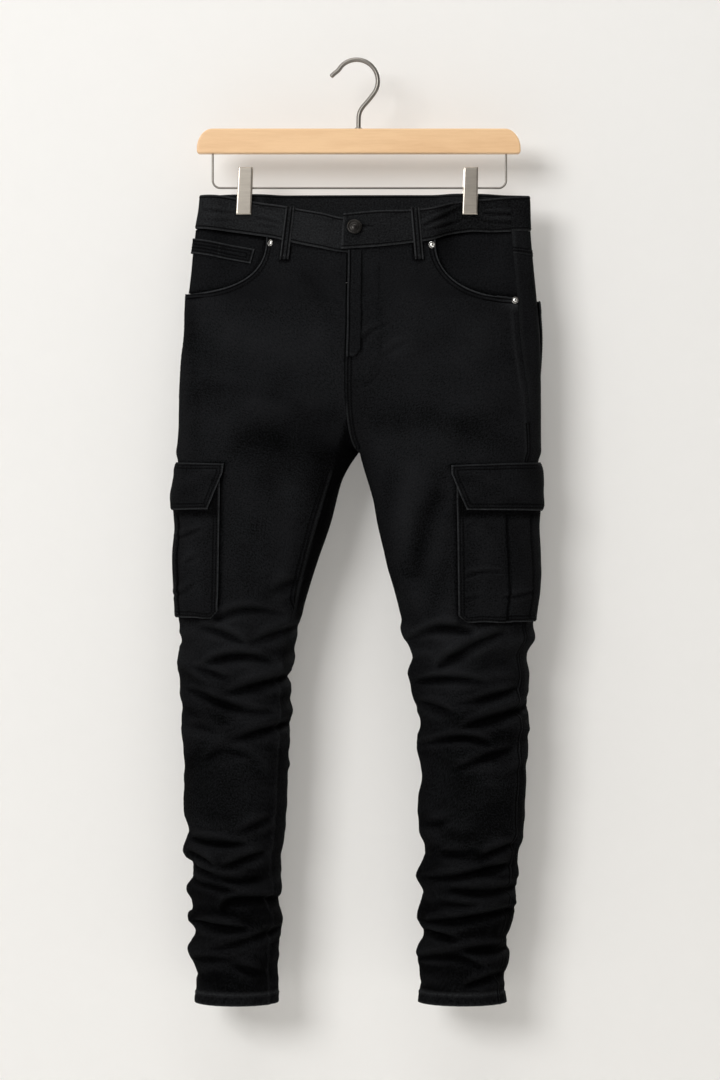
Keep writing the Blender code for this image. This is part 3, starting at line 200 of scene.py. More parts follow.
BACK_FOLDS = (FOLD, (
    (-190, 698, -150, 688, -92, 690, 3.5, 9, 1.0), (-198, 716, -165, 724, -130, 718, 4.0, 9, 2.0),
    (-150, 738, -118, 728, -86, 734, 4.5, 10, 2.5), (-198, 752, -165, 762, -130, 758, 4.5, 9, 2.5),
    (-176, 786, -132, 776, -92, 788, 4.5, 10, 2.5), (-196, 816, -160, 826, -126, 820, 3.5, 10, 2.0),
    (-140, 858, -116, 850, -92, 856, 2.5, 10, 1.0), (-192, 912, -150, 904, -108, 914, 3.5, 9, 2.0),
    (-168, 940, -134, 934, -100, 926, 4.5, 9, 2.5), (-196, 958, -156, 968, -112, 960, 5.0, 9, 2.5),
    (-180, 990, -140, 984, -104, 994, 4.5, 9, 2.5), (-194, 1016, -150, 1024, -108, 1014, 5.0, 9, 2.5),
    (-178, 1050, -140, 1042, -106, 1052, 4.5, 9, 2.0), (-190, 1082, -150, 1088, -112, 1080, 3.5, 9, 2.0),
    (72, 684, 116, 694, 176, 690, 3.5, 9, 1.0), (96, 712, 140, 702, 188, 710, 4.5, 10, 2.5),
    (74, 738, 110, 746, 150, 740, 4.0, 9, 2.0), (118, 770, 160, 762, 196, 772, 4.5, 10, 2.5),
    (84, 800, 122, 808, 168, 798, 4.5, 9, 2.0), (112, 846, 150, 838, 186, 848, 3.0, 10, 1.5),
    (86, 902, 118, 896, 150, 904, 2.5, 9, 1.0), (110, 936, 148, 944, 184, 934, 4.5, 9, 2.5),
    (84, 966, 120, 958, 162, 966, 4.5, 9, 2.5), (104, 994, 146, 1002, 182, 992, 5.0, 9, 2.5),
    (82, 1026, 120, 1018, 164, 1028, 4.5, 9, 2.5), (98, 1056, 138, 1064, 174, 1054, 5.0, 9, 2.5),
    (84, 1088, 118, 1082, 156, 1090, 3.5, 9, 2.0),
    # Drags under the seat and behind the knees.
    (-40, 452, -84, 470, -130, 492, 4.0, 18, 2.0), (-30, 486, -62, 510, -96, 540, 3.5, 15, 2.0),
    (60, 454, 104, 472, 150, 490, 4.0, 18, 2.0), (48, 490, 72, 514, 104, 544, 3.5, 15, 2.0),
))

# Cargo pockets: the body's front edge (x) and its drop at the mouth, its lower edge, and how far
# it reaches behind the side seam; then the flap's front edge at its top and foot.
CARGO = {
    "right": {"edge_top": -161.0, "edge_foot": -164.0, "top": 494.0, "foot": 666.0, "behind": 80.0,
              "flap_top": 483.0, "flap_foot": 537.0, "flap_edge_top": -157.0, "flap_edge_foot": -175.0},
    "left": {"edge_top": 118.0, "edge_foot": 121.0, "top": 496.0, "foot": 671.0, "behind": 80.0,
             "flap_top": 485.0, "flap_foot": 538.0, "flap_edge_top": 112.0, "flap_edge_foot": 130.0},
}
CHAMFER = 8.0
PLEAT = (1.0, 31.0)    # the box pleat's two edges, round the cloth from the side seam
PLEAT_STEP = 1.2       # how far it stands out, from below the flap down
PLEAT_FROM, PLEAT_RUN = 532.0, 20.0
FLAP_LIFT = 1.2        # from a pocket to its flap
FLAP_BEHIND, FLAP_TAPER = 5.0, 14.0
FLAP_SEWN = 0.2        # the part of its height over which it rises from the leg to over the pocket
FLAP_RISE = 0.04       # slope of its top edge, up towards the back

# Back patch pockets, measured round the cloth from the side seam.
BACK_POCKET = {"from_side": 37.0, "wide": 146.0, "narrow": 126.0, "top": 287.0, "side": 122.0, "point": 24.0}

# Belt loops: the front ones' places by x, the back ones' by their angle round the waist.
LOOP_WIDTH = 10.5
FRONT_LOOPS = {"right": {"x_top": -78.5, "x_foot": -85.5, "top": 176.5, "foot": 240.5},
               "left": {"x_top": 69.0, "x_foot": 74.0, "top": 177.5, "foot": 240.5}}
BACK_LOOPS = {"side_right": -157.0, "back": -87.0, "side_left": -18.0}
BACK_LOOP_BELOW = 1.5  # from the band's top edge
BACK_LOOP_FOOT = 215.0

BUTTON = {"x": -3.0, "drop": 202.0, "radius": 8.9}
RIVET_RADIUS = 4.2
RIVETS = (("x", "drop", "seat"), (
    (-102.0, 219.5, 1.0), (89.0, 222.5, 0.0), (188.0, 288.0, 0.6), (-200.0, 283.0, -0.6),
))
YOKE_LEVEL = 240.0
SCOOP_CROWD = 1.8      # crowds its points towards the side seam, where the cloth turns most
FACING_BEHIND = 8.0    # how far a facing runs on behind the front panel
FACING_DEPTH = -3.8
FACING_RISE = 0.7      # how much nearer the surface it is at the waistband
FACING_SIDE_RISE = 3.0 # and at the side seam, where nothing covers it
FACING_NEAREST = -0.5
FACING_REACH = 0.09    # as a part of t, past the scoop's upper end
FACING_CUT, FACING_CUT_FROM = 34.0, 0.45    # how its foot rises towards the front
WAIST_LEVEL = 205.0    # where the x of the waistband's edges is read
BAND_LEVEL = 185.0
LOOP_LIFT = BAND_OUT + 0.3
LOOP_LEVEL = 190.0
BAND_SHORT = 0.12      # degrees, at each side seam
HOOK_WIRE = 5.5
HOOK_RADIUS = 25.5
BAR_TOP, BAR_FOOT = -80.4, -110.4
BAR_ENDS = (-191.6, 196.6)
BAR_THICK = 13.0
WIRE = 2.5
WIRE_X = (-172.7, 179.3)
WIRE_FOOT = -151.2
WIRE_BEND = 9.0
HOLE_DEEP = 12.0
CLIP_WIDTH = 17.0
CLIP_PLATE = 1.2
CLIP_FLARE = 1.6       # how much wider the jaw is than the top
CLIP_TOP, CLIP_JAW = -127.0, -184.0
CLIP_GRIP = PINCHED + BAND_OUT + 1.4
CLIP_SPLAY = 0.04      # slope of each plate away from the middle, upwards
CLIP_TILT = {"right": 0.044, "left": 0.026}    # slope towards +X, upwards
ROLL_RADIUS = CLIP_GRIP + CLIP_SPLAY * (WIRE_FOOT - CLIP_JAW) - 0.3
ROLL_LENGTH = 12.0
COIN = {"x_top": -122.0, "x_foot": -126.5, "top": 212.5, "fall": 12.5, "height": 17.5,
        "lift": 1.1, "cloth": 1.0}
FLY = {"x": -8.0, "width": 15.4, "top": 229.5, "height": 127.5, "round_from": 0.9, "rounded": 0.55,
       "lift": 0.4, "cloth": 1.1}


def read(table, name, at):
    """The named column at each value of the first one, on a smooth curve through the rows."""
    names, rows = table
    rows = np.array(rows, float)
    key, value = rows[:, 0], rows[:, names.index(name)]
    slope = np.gradient(value, key)
    at = np.clip(at, key[0], key[-1])
    i = np.clip(np.searchsorted(key, at) - 1, 0, len(key) - 2)
    span = key[i + 1] - key[i]
    s = (at - key[i]) / span
    return ((1 + 2 * s) * (1 - s) ** 2 * value[i] + s * (1 - s) ** 2 * span * slope[i]
            + s * s * (3 - 2 * s) * value[i + 1] + s * s * (s - 1) * span * slope[i + 1])


def ease(s):
    s = np.clip(s, 0.0, 1.0)
    return s * s * (3 - 2 * s)


def bell(s):
    return np.exp(-s ** 2)


def between(pair, s):
    return pair[0] + (pair[1] - pair[0]) * s


def pinched(x, y, drop):
    """Draws the cloth together inside each clip."""
    fade = 1 - ease((drop - PINCH_TOP) / PINCH_FADE)
    for clip_x in CLIP_X.values():
        weight = fade * np.exp(-((x - clip_x) / PINCH_REACH) ** 4)
        y = y + weight * (np.sign(y) * np.minimum(np.abs(y), PINCHED) - y)
    return y


def ring(low, high, front, back, angle, square=1.0):
    """A point on an oval between two sides, deeper or shallower before and behind its middle."""
    turn = np.radians(angle)
    depth = np.where(np.sin(turn) > 0, front, back)
    y = -depth * np.sign(np.sin(turn)) * np.abs(np.sin(turn)) ** square
    return (low + high) / 2 + (high - low) / 2 * np.cos(turn), y


def front_angle(x, drop):
    """Angle at which the front of the hips has this x."""
    low, high = read(HIPS, "right", drop), read(HIPS, "left", drop)
    return np.degrees(np.arccos((2 * x - low - high) / (high - low)))


def hip_point(angle, drop):
    x, y = ring(*(read(HIPS, name, drop) for name in ("right", "left", "front", "back")), angle,
                HIP_SQUARE)
    return x, pinched(x, y, drop)


def front_t(side, x, drop):
    """t on the front of the hips at an x."""
    return (front_angle(x, drop) - SIDE[side]) / (CENTRE_FRONT - SIDE[side])


def leg_point(side, angle, drop):
    outer, inner, front, back = (read(LEGS[side], n, drop) for n in ("outer", "inner", "front", "back"))
    return ring(np.minimum(outer, inner), np.maximum(outer, inner), front, back, angle)


def seam_angles(side, face, drop):
    """Angles of the side seam and the inner seam on the hips, then on the leg."""
    twist = TWIST[side] * ease((drop - CROTCH) / TWIST_HEIGHT)
    if face == "front":
        return SIDE[side], CENTRE_FRONT, LEG_SIDE[side], (0.0 if side == "right" else 180.0) + twist
    centre = CENTRE_BACK if side == "right" else CENTRE_BACK - 360
    return SIDE[side], centre, LEG_SIDE[side], (360.0 if side == "right" else -180.0) + twist


def plain(side, face, t, drop):
    """The unfolded cloth: t runs from the side seam, 0, to the centre seam or inseam, 1."""
    hip_outer, hip_inner, leg_outer, leg_inner = seam_angles(side, face, drop)
    rise = np.clip((CROTCH - drop) / RISE_CURVE, 0.0, 1.0)
    at_centre = np.clip(t, 0, 1) ** 5
    hip = at_centre * np.sqrt(1 - (1 - rise) ** 2) + (1 - at_centre) * ease((CROTCH - drop) / THIGH_BLEND)
    hip_x, hip_y = hip_point(hip_outer + (hip_inner - hip_outer) * t, drop)
    leg_x, leg_y = leg_point(side, leg_outer + (leg_inner - leg_outer) * t, drop)
    apart = (-1 if side == "right" else 1) * CENTRE_GAP / 2
    x, y = hip * hip_x + (1 - hip) * leg_x + apart, hip * hip_y + (1 - hip) * leg_y
    return np.stack([x, y, -drop], axis=-1)


def faces_out(side, face):
    """Whether a panel's grid, from its side seam and from its top, has its normals outwards."""
    return (side == "left") == (face == "front")


def outward(side, face, surface, t, drop):
    """Unit normals of a surface, pointing out of the garment."""
    along = surface(side, face, t + 2e-3, drop) - surface(side, face, t - 2e-3, drop)
    down = surface(side, face, t, drop + 0.5) - surface(side, face, t, drop - 0.5)
    normal = np.cross(along, down)
    normal /= np.linalg.norm(normal, axis=-1, keepdims=True)
    return normal if faces_out(side, face) else -normal


def folded(table, x, drop):
    """How far the folds of a table move the cloth out at each place."""
    names, rows = table
    total = np.zeros(np.shape(x))
    for row in rows:
        fold = dict(zip(names, row))
        nearest = np.full(np.shape(x), 1e9)
        above = np.zeros(np.shape(x))
        for a, b in (("1", "2"), ("2", "3")):
            ax, ad = fold["x" + a], fold["drop" + a]
            run, fall = fold["x" + b] - ax, fold["drop" + b] - ad
            length = math.hypot(run, fall)
            s = ((x - ax) * run + (drop - ad) * fall) / length ** 2
            near = np.clip(s, 0.0, 1.0)
            away = np.hypot(x - ax - near * run, drop - ad - near * fall)
            side = np.sign((drop - ad) * run - (x - ax) * fall) * (-1 if run > 0 else 1)
            taper = np.clip(np.abs(s - near) * length, 0, None)
            closer = away + taper < nearest
            nearest = np.where(closer, away + taper, nearest)
            above = np.where(closer, side * away, above)
        width = fold["width"]
        ends = bell((nearest - np.abs(above)) / (1.2 * width))
        trough = -fold["depth"] * bell(above / width)
        ridge = fold["ridge"] * bell((above - 1.7 * width) / (1.2 * width))
        total += ends * (trough + ridge)
    return FOLD_DEPTH * total


def cloth(side, face, t, drop):
    """The garment's surface with its folds."""
    base = plain(side, face, t, drop)
    normal = outward(side, face, plain, t, drop)
    before = ease(0.5 - 1.2 * normal[..., 1])
    out = before * folded(FRONT_FOLDS, base[..., 0], drop)
    out = out + (1 - before) * folded(BACK_FOLDS, base[..., 0], drop)
    out = out * ease((HEM - 8 - drop) / 20)
    out = out * (1 - ease((t - 0.7) / 0.25) * ease((CROTCH + 45 - drop) / 30))
    return base + normal * out[..., None]


def raised(side, face, t, drop, out):
    """Points of the cloth moved out by a distance, which may differ from point to point."""
    normal = outward(side, face, cloth, t, drop)
    return cloth(side, face, t, drop) + normal * np.broadcast_to(out, np.shape(t))[..., None]


def run_of(side, face, drop, count=90):
    """Points of one panel's unfolded row, with their t and their distance from the side seam."""
    steps = np.linspace(0, 1, count)
    points = plain(side, face, steps, np.full(len(steps), float(drop)))
    run = np.concatenate([[0], np.cumsum(np.linalg.norm(np.diff(points, axis=0), axis=1))])
    return steps, points, run


def around(side, distance, drop, out=0.0):
    """Points at a distance round the cloth from the side seam, positive towards the front."""
    placed, out = np.zeros(distance.shape + (3,)), np.broadcast_to(out, distance.shape)
    for face, chosen in (("front", distance >= 0), ("back", distance < 0)):
        t = np.zeros(distance.shape)
        runs = {level: run_of(side, face, level) for level in np.unique(drop[chosen])}
        for where in np.argwhere(chosen):
            steps, _, run = runs[drop[tuple(where)]]
            t[tuple(where)] = np.interp(abs(distance[tuple(where)]), run, steps)
        placed = np.where(chosen[..., None], raised(side, face, t, drop, out), placed)
    return placed


def arc_at_x(side, x, drop):
    """Distance round the front from the side seam to an x on the front."""
    _, points, run = run_of(side, "front", drop)
    outermost = int(np.argmax(np.abs(points[:45, 0])))
    sign = 1 if side == "right" else -1
    return float(np.interp(sign * x, sign * points[outermost:, 0], run[outermost:]))


def scoop_edge(side, f):
    """The scoop's edge as t and drop, from the waistband (0) to the side seam (1)."""
    scoop = SCOOPS[side]
    turn = f * math.pi / 2
    run = math.cos(turn) ** (2 / SCOOP_SQUARE)
    drop = scoop["top"] + (scoop["bottom"] - scoop["top"]) * math.sin(turn) ** (2 / SCOOP_SQUARE)
    start = float(front_angle(scoop["x"], drop))
    front_end = min(SIDE[side], 180.0)
    reach = math.cos(math.radians(front_end))
    angle = math.degrees(math.acos(reach - (reach - math.cos(math.radians(start))) * run))
    angle += (SIDE[side] - front_end) * (1 - run) ** 3
    return (angle - SIDE[side]) / (CENTRE_FRONT - SIDE[side]), drop


def front_seam(side, x):
    """Drop of the front panel's top edge, under the waistband."""
    return read(BAND_FRONT[side], "bottom", x) + GAP


def span(side, face, drop):
    """The t of both ends of a panel's row, half a gap short of each seam."""
    length = run_of(side, face, drop, 60)[2][-1]
    return GAP / 2 / length, 1 - GAP / 2 / length


def back_edge(side, name, u):
    """t and drop along an edge of the back of the waist."""
    hip_outer, hip_inner, _, _ = seam_angles(side, "back", YOKE_LEVEL)
    low, high = span(side, "back", YOKE_LEVEL)
    t = low + (high - low) * u
    angles = hip_outer + (hip_inner - hip_outer) * t
    return t, read(BAND_BACK, name, np.where(angles > 90, angles - 360, angles))


def facing_end(side):
    return scoop_edge(side, 0.0)[0] + FACING_REACH


def facing_edges(side, t):
    """Drops of a facing's top, at the waistband's seam, and of its foot, just below the scoop."""
    rise = np.clip((t / facing_end(side) - FACING_CUT_FROM) / (1 - FACING_CUT_FROM), 0, 1) ** 2
    return front_seam(side, waist_x(side, t)), SCOOPS[side]["bottom"] + FACING_BEHIND - FACING_CUT * rise


def facing_depth(side, t, drop):
    top, foot = facing_edges(side, t)
    below = np.clip((drop - top) / (foot - top), 0, 1)
    side_rise = FACING_SIDE_RISE * (1 - t / facing_end(side)) ** 2 * (1 - below ** 6)
    return np.minimum(FACING_DEPTH + FACING_RISE * (1 - below) ** 3 + side_rise, FACING_NEAREST)


def waist_x(side, t):
    return plain(side, "front", t, np.full(np.shape(t), WAIST_LEVEL))[..., 0]


def back_ring(angle, drop, out):
    """Points on the back of the waist by their angle, moved out of the cloth."""
    placed = np.zeros(np.shape(angle) + (3,))
    for side, chosen in (("right", angle < CENTRE_BACK - 360), ("left", angle >= CENTRE_BACK - 360)):
        hip_outer, hip_inner, _, _ = seam_angles(side, "back", 200.0)
        turn = angle + 360 if side == "right" else angle
        t = (turn - hip_outer) / (hip_inner - hip_outer)
        points = raised(side, "back", t, drop, out)
        placed = np.where(chosen[..., None], points, placed)
    return placed


def cargo_grid(side, rows, columns):
    """Distance round the leg and drop of each point of a cargo pocket, and how far its pleat stands out."""
    cargo = CARGO[side]
    distances, drops = [], []
    corner = np.linspace(cargo["foot"] - CHAMFER, cargo["foot"], 9)[1:]
    for level in [*np.linspace(cargo["top"], cargo["foot"] - CHAMFER, rows), *corner]:
        v = (level - cargo["top"]) / (cargo["foot"] - cargo["top"])
        front = arc_at_x(side, cargo["edge_top"] + (cargo["edge_foot"] - cargo["edge_top"]) * v, level)
        cut = max(0.0, level - cargo["foot"] + CHAMFER)
        ends = ((front - cut, PLEAT[1] + 0.6), (PLEAT[1] - 0.6, PLEAT[0] + 0.6),
                (PLEAT[0] - 0.6, cut - cargo["behind"]))
        distances.append(np.concatenate([np.linspace(*pair, n) for pair, n in zip(ends, columns)]))
        drops.append(np.full(sum(columns), level))
    distance, drop = np.array(distances), np.array(drops)
    pleat = (distance > PLEAT[0]) & (distance < PLEAT[1])
    return distance, drop, np.where(pleat, PLEAT_STEP * ease((drop - PLEAT_FROM) / PLEAT_RUN), 0.0)


def front_place(x, drop):
    """A place on the front of the hips and its outward direction, in millimetres."""
    side = "left" if x > OVERLAP_X else "right"
    at = np.array([float(drop)])
    t = front_t(side, x, at)
    return cloth(side, "front", t, at)[0], outward(side, "front", cloth, t, at)[0]


def smooth_path(points, each=5):
    """A Catmull-Rom curve through given points."""
    points = [np.array(p, float) for p in points]
    points = [2 * points[0] - points[1]] + points + [2 * points[-1] - points[-2]]
    path = []
    for a, b, c, d in zip(points, points[1:], points[2:], points[3:]):
        for s in np.linspace(0, 1, each, endpoint=False):
            path.append(0.5 * (2 * b + (c - a) * s + (2 * a - 5 * b + 4 * c - d) * s * s
                               + (3 * b - a - 3 * c + d) * s ** 3))
    return path + [points[-2]]


# Fineness of the meshes, in millimetres between rows and in columns across a panel.
ROW_STEP = 2.5
PANEL_COLUMNS = 66
SHELL = 1.3            # thickness of the cloth's fine shell
SEAMLESS = 20.0        # distance from a sewn edge at which nothing of its seam shows


def noise(x, y, seed):
    """Smooth value noise in -1..1 on a unit grid."""
    def corner(i, j):
        h = np.sin(i * 127.1 + j * 311.7 + seed * 74.7) * 43758.5453
        return 2 * (h - np.floor(h)) - 1
    i, j = np.floor(x), np.floor(y)
    u, v = x - i, y - j
    u, v = u * u * (3 - 2 * u), v * v * (3 - 2 * v)
    low = corner(i, j) * (1 - u) + corner(i + 1, j) * u
    high = corner(i, j + 1) * (1 - u) + corner(i + 1, j + 1) * u
    return low * (1 - v) + high * v


def grid_normals(points, flip):
    """Unit normals of a grid of points from its neighbours."""
    along = np.gradient(points, axis=1)
    down = np.gradient(points, axis=0)
    normal = np.cross(along, down)
    length = np.linalg.norm(normal, axis=-1, keepdims=True)
    normal = normal / np.maximum(length, 1e-9)
    return -normal if flip else normal


def put(name, data):
    """A new object in the scene."""
    obj = bpy.data.objects.new(name, data)
    bpy.context.scene.collection.objects.link(obj)
    return obj


def dress(obj, look):
    """Gives a piece its material, and has it ride on the one body."""
    obj.data.materials.append(look)
    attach(obj, "root")
    return obj


def runs(points):
    """Distance along each row of a grid, from its first column."""
    step = np.linalg.norm(np.diff(points, axis=1), axis=-1)
    return np.concatenate([np.zeros((len(points), 1)), np.cumsum(step, axis=1)], axis=1)


def falls(points):
    """Distance down each column of a grid, from its first row."""
    return runs(points.transpose(1, 0, 2)).T


def shell(name, outer, normals, thick, look, wear=0.0, dye=0.5, inset=SEAMLESS):
    """A thin closed shell under a grid of points, with the wear, the dye with its painted shade, and the
    distance to a sewn edge of each.
    """
    rows, columns = outer.shape[:2]
    inner = outer - normals * thick
    count = rows * columns
    index = np.arange(count).reshape(rows, columns)
    quads = np.stack([index[:-1, :-1], index[1:, :-1], index[1:, 1:], index[:-1, 1:]], axis=-1)
    quads = quads.reshape(-1, 4)
    edge = np.concatenate([index[:, 0], index[-1, 1:], index[-2::-1, -1], index[0, -2:0:-1]])
    following = np.roll(edge, -1)
    rim = np.stack([following, edge, edge + count, following + count], axis=-1)
    faces = np.concatenate([quads, quads[:, ::-1] + count, rim])
    points = np.concatenate([outer.reshape(-1, 3), inner.reshape(-1, 3)]) * MM
    mesh = bpy.data.meshes.new(name)
    mesh.from_pydata(points.tolist(), [], faces.tolist())
    across, down = runs(outer), falls(outer)
    across = across - across[:, columns // 2][:, None]
    uv = np.stack([across, down], axis=-1).reshape(-1, 2) * MM
    uv = np.concatenate([uv, uv])
    layer = mesh.uv_layers.new(name="cloth")
    loops = np.empty(len(mesh.loops), np.int32)
    mesh.loops.foreach_get("vertex_index", loops)
    layer.data.foreach_set("uv", uv[loops].ravel())
    for label, values in (("wear", wear), ("dye", dye), ("inset", np.divide(inset, SEAMLESS))):
        values = np.clip(np.broadcast_to(values, (rows, columns)), 0, 1).ravel()
        attribute = mesh.attributes.new(label, "FLOAT", "POINT")
        attribute.data.foreach_set("value", np.concatenate([values, values]).astype(np.float32))
    mesh.update()
    repair = bmesh.new()
    repair.from_mesh(mesh)
    bmesh.ops.recalc_face_normals(repair, faces=repair.faces)
    repair.to_mesh(mesh)
    repair.free()
    mesh.shade_smooth()
    mesh.set_sharp_from_angle(angle=math.radians(60))
    return dress(put(name, mesh), look)


def declare_cloth(node, flat):
    """The piece stands for its solid, which is hidden; its flat size is unpacked but not used."""
    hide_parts(node)
    width, length = flat


SEWN = []              # the paths of all rows of stitches, in millimetres
STITCH_ROWS = (3.0, 7.0)    # from a sewn edge to its rows of stitches


def sew(points, edge, insets, first=0, last=None, away=None):
    """Rows of stitches at distances in from one edge of a grid, or at values of another measure."""
    grid = points if edge in "lr" else points.transpose(1, 0, 2)
    turned = grid[:, ::-1] if edge in "rb" else grid
    measure = runs(turned) if away is None else (away[:, ::-1] if edge in "rb" else away)
    for inset in insets:
        path = [[np.interp(inset, run, line[:, k]) for k in range(3)]
                for run, line in list(zip(measure, turned))[first:last] if run[0] <= inset <= run[-1]]
        if len(path) > 2:
            SEWN.append(np.array(path))


# ---------------------------------------------------------------- cloth detail

SEAM_WIDTH, SEAM_HEIGHT = 9.0, 0.7
ROPE = 7.0             # pitch of the puckers along a seam
FINE_SHARP = 1.05      # how much of a fold's depth its narrow crease adds
BROAD = 11.5           # folds wider than this have no crease


def curve_of(row, k):
    """x and drop of points on the curve through a row's three places; k runs from 0 to 1."""
    through = np.stack([(2 * k - 1) * (k - 1), 4 * k * (1 - k), k * (2 * k - 1)])
    return [np.array([row[name + end] for end in "123"]) @ through for name in ("x", "drop")]


def sharp_folds(table, x, drop):
    """The creases in the folds' bottoms, and the cloth that swells over them and under them."""
    names, rows = table
    total = np.zeros(np.shape(x))
    k = np.linspace(-0.08, 1.08, 9)
    for number, row in enumerate(rows):
        fold = dict(zip(names, row))
        width = fold["width"]
        if width > BROAD:
            continue
        line_x, line_drop = curve_of(fold, k)
        reach = 3 * width
        near = (x > line_x.min() - reach) & (x < line_x.max() + reach)
        near &= (drop > line_drop.min() - reach) & (drop < line_drop.max() + reach)
        if not near.any():
            continue
        px, pd = x[near][:, None], drop[near][:, None]
        run, fall = np.diff(line_x), np.diff(line_drop)
        s = ((px - line_x[:-1]) * run + (pd - line_drop[:-1]) * fall) / (run ** 2 + fall ** 2)
        s = np.clip(s, 0, 1)
        off_x, off_drop = px - line_x[:-1] - s * run, pd - line_drop[:-1] - s * fall
        away = np.hypot(off_x, off_drop)
        best = np.argmin(away, axis=1)
        pick = np.arange(len(best))
        along = (best + s[pick, best]) / (len(k) - 1)
        above = away[pick, best] * np.sign(-off_drop[pick, best])
        lean = 0.65 + 0.9 * ((number * 0.37) % 1)
        swell = np.sin(math.pi * along ** lean) ** 0.6
        u = above / (width * (0.45 + 0.55 * swell))
        crease = -1.0 * bell(u / 0.4)
        over = 1.1 * bell((u - 1.05) / 0.6)
        under = 0.6 * bell((u + 0.95) / 0.55)
        total[near] += FINE_SHARP * fold["depth"] * swell * (crease + over + under)
    return total


BROAD_FOLDS = (FOLD, tuple(row for row in FRONT_FOLDS[1] if row[FOLD.index("width")] > BROAD))
BROAD_SHADE = 0.26     # how much painted shade and painted light a broad drag adds to the cloth's colour


# Painted shade where the front's cloth turns from the light (more than nought), and painted light where it
# turns towards it.
SHADES = (("x1", "drop1", "x2", "drop2", "x3", "drop3", "depth", "width"), (
    (-122, 446, -82, 457, -30, 472, 0.26, 19), (-96, 474, -64, 494, -44, 524, 0.16, 20),
    (-40, 480, -56, 560, -76, 640, 0.22, 17), (-120, 560, -104, 610, -118, 655, 0.12, 14),
    (28, 434, 92, 428, 176, 462, 0.17, 18), (97, 500, 82, 552, 68, 612, 0.26, 12),
    (112, 548, 104, 604, 88, 660, 0.16, 8), (42, 500, 30, 560, 44, 622, 0.16, 12),
    (-176, 392, -120, 398, -70, 412, 0.14, 9), (-150, 336, -96, 352, -44, 334, -0.20, 26),
    (52, 344, 100, 352, 150, 332, -0.14, 26), (-84, 520, -80, 580, -92, 640, -0.16, 13),
    (66, 486, 58, 540, 70, 640, -0.14, 10), (-198, 300, -194, 400, -190, 470, 0.14, 9),
    (-60, 262, -36, 300, -28, 350, 0.12, 10),
))


def away_from(line, x, drop):
    """Distance of each place to the nearest of a line's points, given as their x and their drops."""
    return np.min(np.hypot(x[..., None] - line[0], drop[..., None] - line[1]), axis=-1)


def shaded(table, x, drop):
    """Sum of the soft shades along a table's curves."""
    names, rows = table
    total = np.zeros(np.shape(x))
    for row in rows:
        shade = dict(zip(names, row))
        away = away_from(curve_of(shade, np.linspace(0, 1, 15)), x, drop)
        total += shade["depth"] * bell(away / shade["width"])
    return total


def painted_contact_shade(side, x, drop):
    """Painted contact shade: one on a front panel's cloth right beside the pieces that lie on it, and nought
    away from them.
    """
    way = 1 if side == "left" else -1
    cargo, loop = CARGO[side], FRONT_LOOPS[side]

    def at_level(piece, top, foot, x_top, x_foot):
        return np.interp(drop, [piece[top], piece[foot]], [piece[x_top], piece[x_foot]])

    def fade(past, reach):
        return bell(np.clip(past, 0, None) / reach)

    flap = at_level(cargo, "flap_top", "flap_foot", "flap_edge_top", "flap_edge_foot")
    body = at_level(cargo, "top", "foot", "edge_top", "edge_foot")
    total = fade(np.minimum(way * flap, way * body) - way * x, 3.5)
    total = total * fade(cargo["flap_top"] - drop, 2.2) * fade(drop - cargo["foot"], 4.5)
    off_loop = np.abs(x - at_level(loop, "top", "foot", "x_top", "x_foot")) - LOOP_WIDTH / 2
    total = total + fade(off_loop, 2.0) * fade(drop - loop["foot"], 2.5)
    return np.clip(total + 0.9 * fade(drop - read(BAND_FRONT[side], "bottom", x), 3.0), 0, 1)


def rumple(x, drop, face):
    """Small wrinkles: nearly level in the stacked legs, faint and broad above them."""
    seed = 3.0 if face == "front" else 11.0
    stacked = ease((drop - 640) / 60) * (1 - 0.7 * bell((drop - 885) / 40))
    bent = drop + 16 * noise(x / 42, drop / 60, seed + 5)
    fine = noise(x / 40, bent / 13, seed) * 2.1
    fine += noise(x / 22, bent / 7, seed + 1) * 0.75
    broad = noise(x / 60, drop / 70, seed + 2) * 1.0 + noise(x / 26, drop / 34, seed + 3) * 0.35
    weave = noise(x / 9, drop / 9, seed + 4) * 0.10
    return stacked * fine + (1 - 0.5 * stacked) * broad * 0.8 + weave


def seam_ridge(distance, drop):
    """A felled seam, puckered along its length."""
    rise = ease((SEAM_WIDTH - distance) / 2.0) * ease(distance / 1.2 + 0.35)
    pucker = 0.16 * np.sin(2 * math.pi * drop / ROPE) + 0.12 * noise(drop / 4, drop * 0 + 0.5, 7)
    return SEAM_HEIGHT * rise * (1 + pucker)


def panel_top(side, face, u, rows):
    """t and drop of a panel's rows above the hips: along the scoop, or below the yoke."""
    ts, drops = [], []
    if face == "front":
        start, _ = scoop_edge(side, 0.0)
        x = waist_x(side, start + (1 - start) * u)
        seam = front_seam(side, x)
        bulge = seam - (seam[0] * (1 - u) + seam[-1] * u)
        low, high = span(side, face, SCOOP_LAST)
        for f in np.linspace(0, 1, rows + 1):
            edge_t, edge_drop = scoop_edge(side, 1 - (1 - f) ** SCOOP_CROWD)
            edge_t, edge_drop = max(edge_t, low), edge_drop if f > 0 else seam[0]
            centre = seam[-1] + (SCOOP_CENTRE - seam[-1]) * f
            ts.append(edge_t + (high - edge_t) * u)
            drops.append(edge_drop + (centre - edge_drop) * u + (1 - f) * bulge)
    else:
        row_t, seam = back_edge(side, "yoke", u)
        for f in np.linspace(0, 1, rows, endpoint=False):
            ts.append(row_t)
            drops.append(seam + GAP + (HIPS_FIRST_ROW - seam - GAP) * f)
    return ts, drops


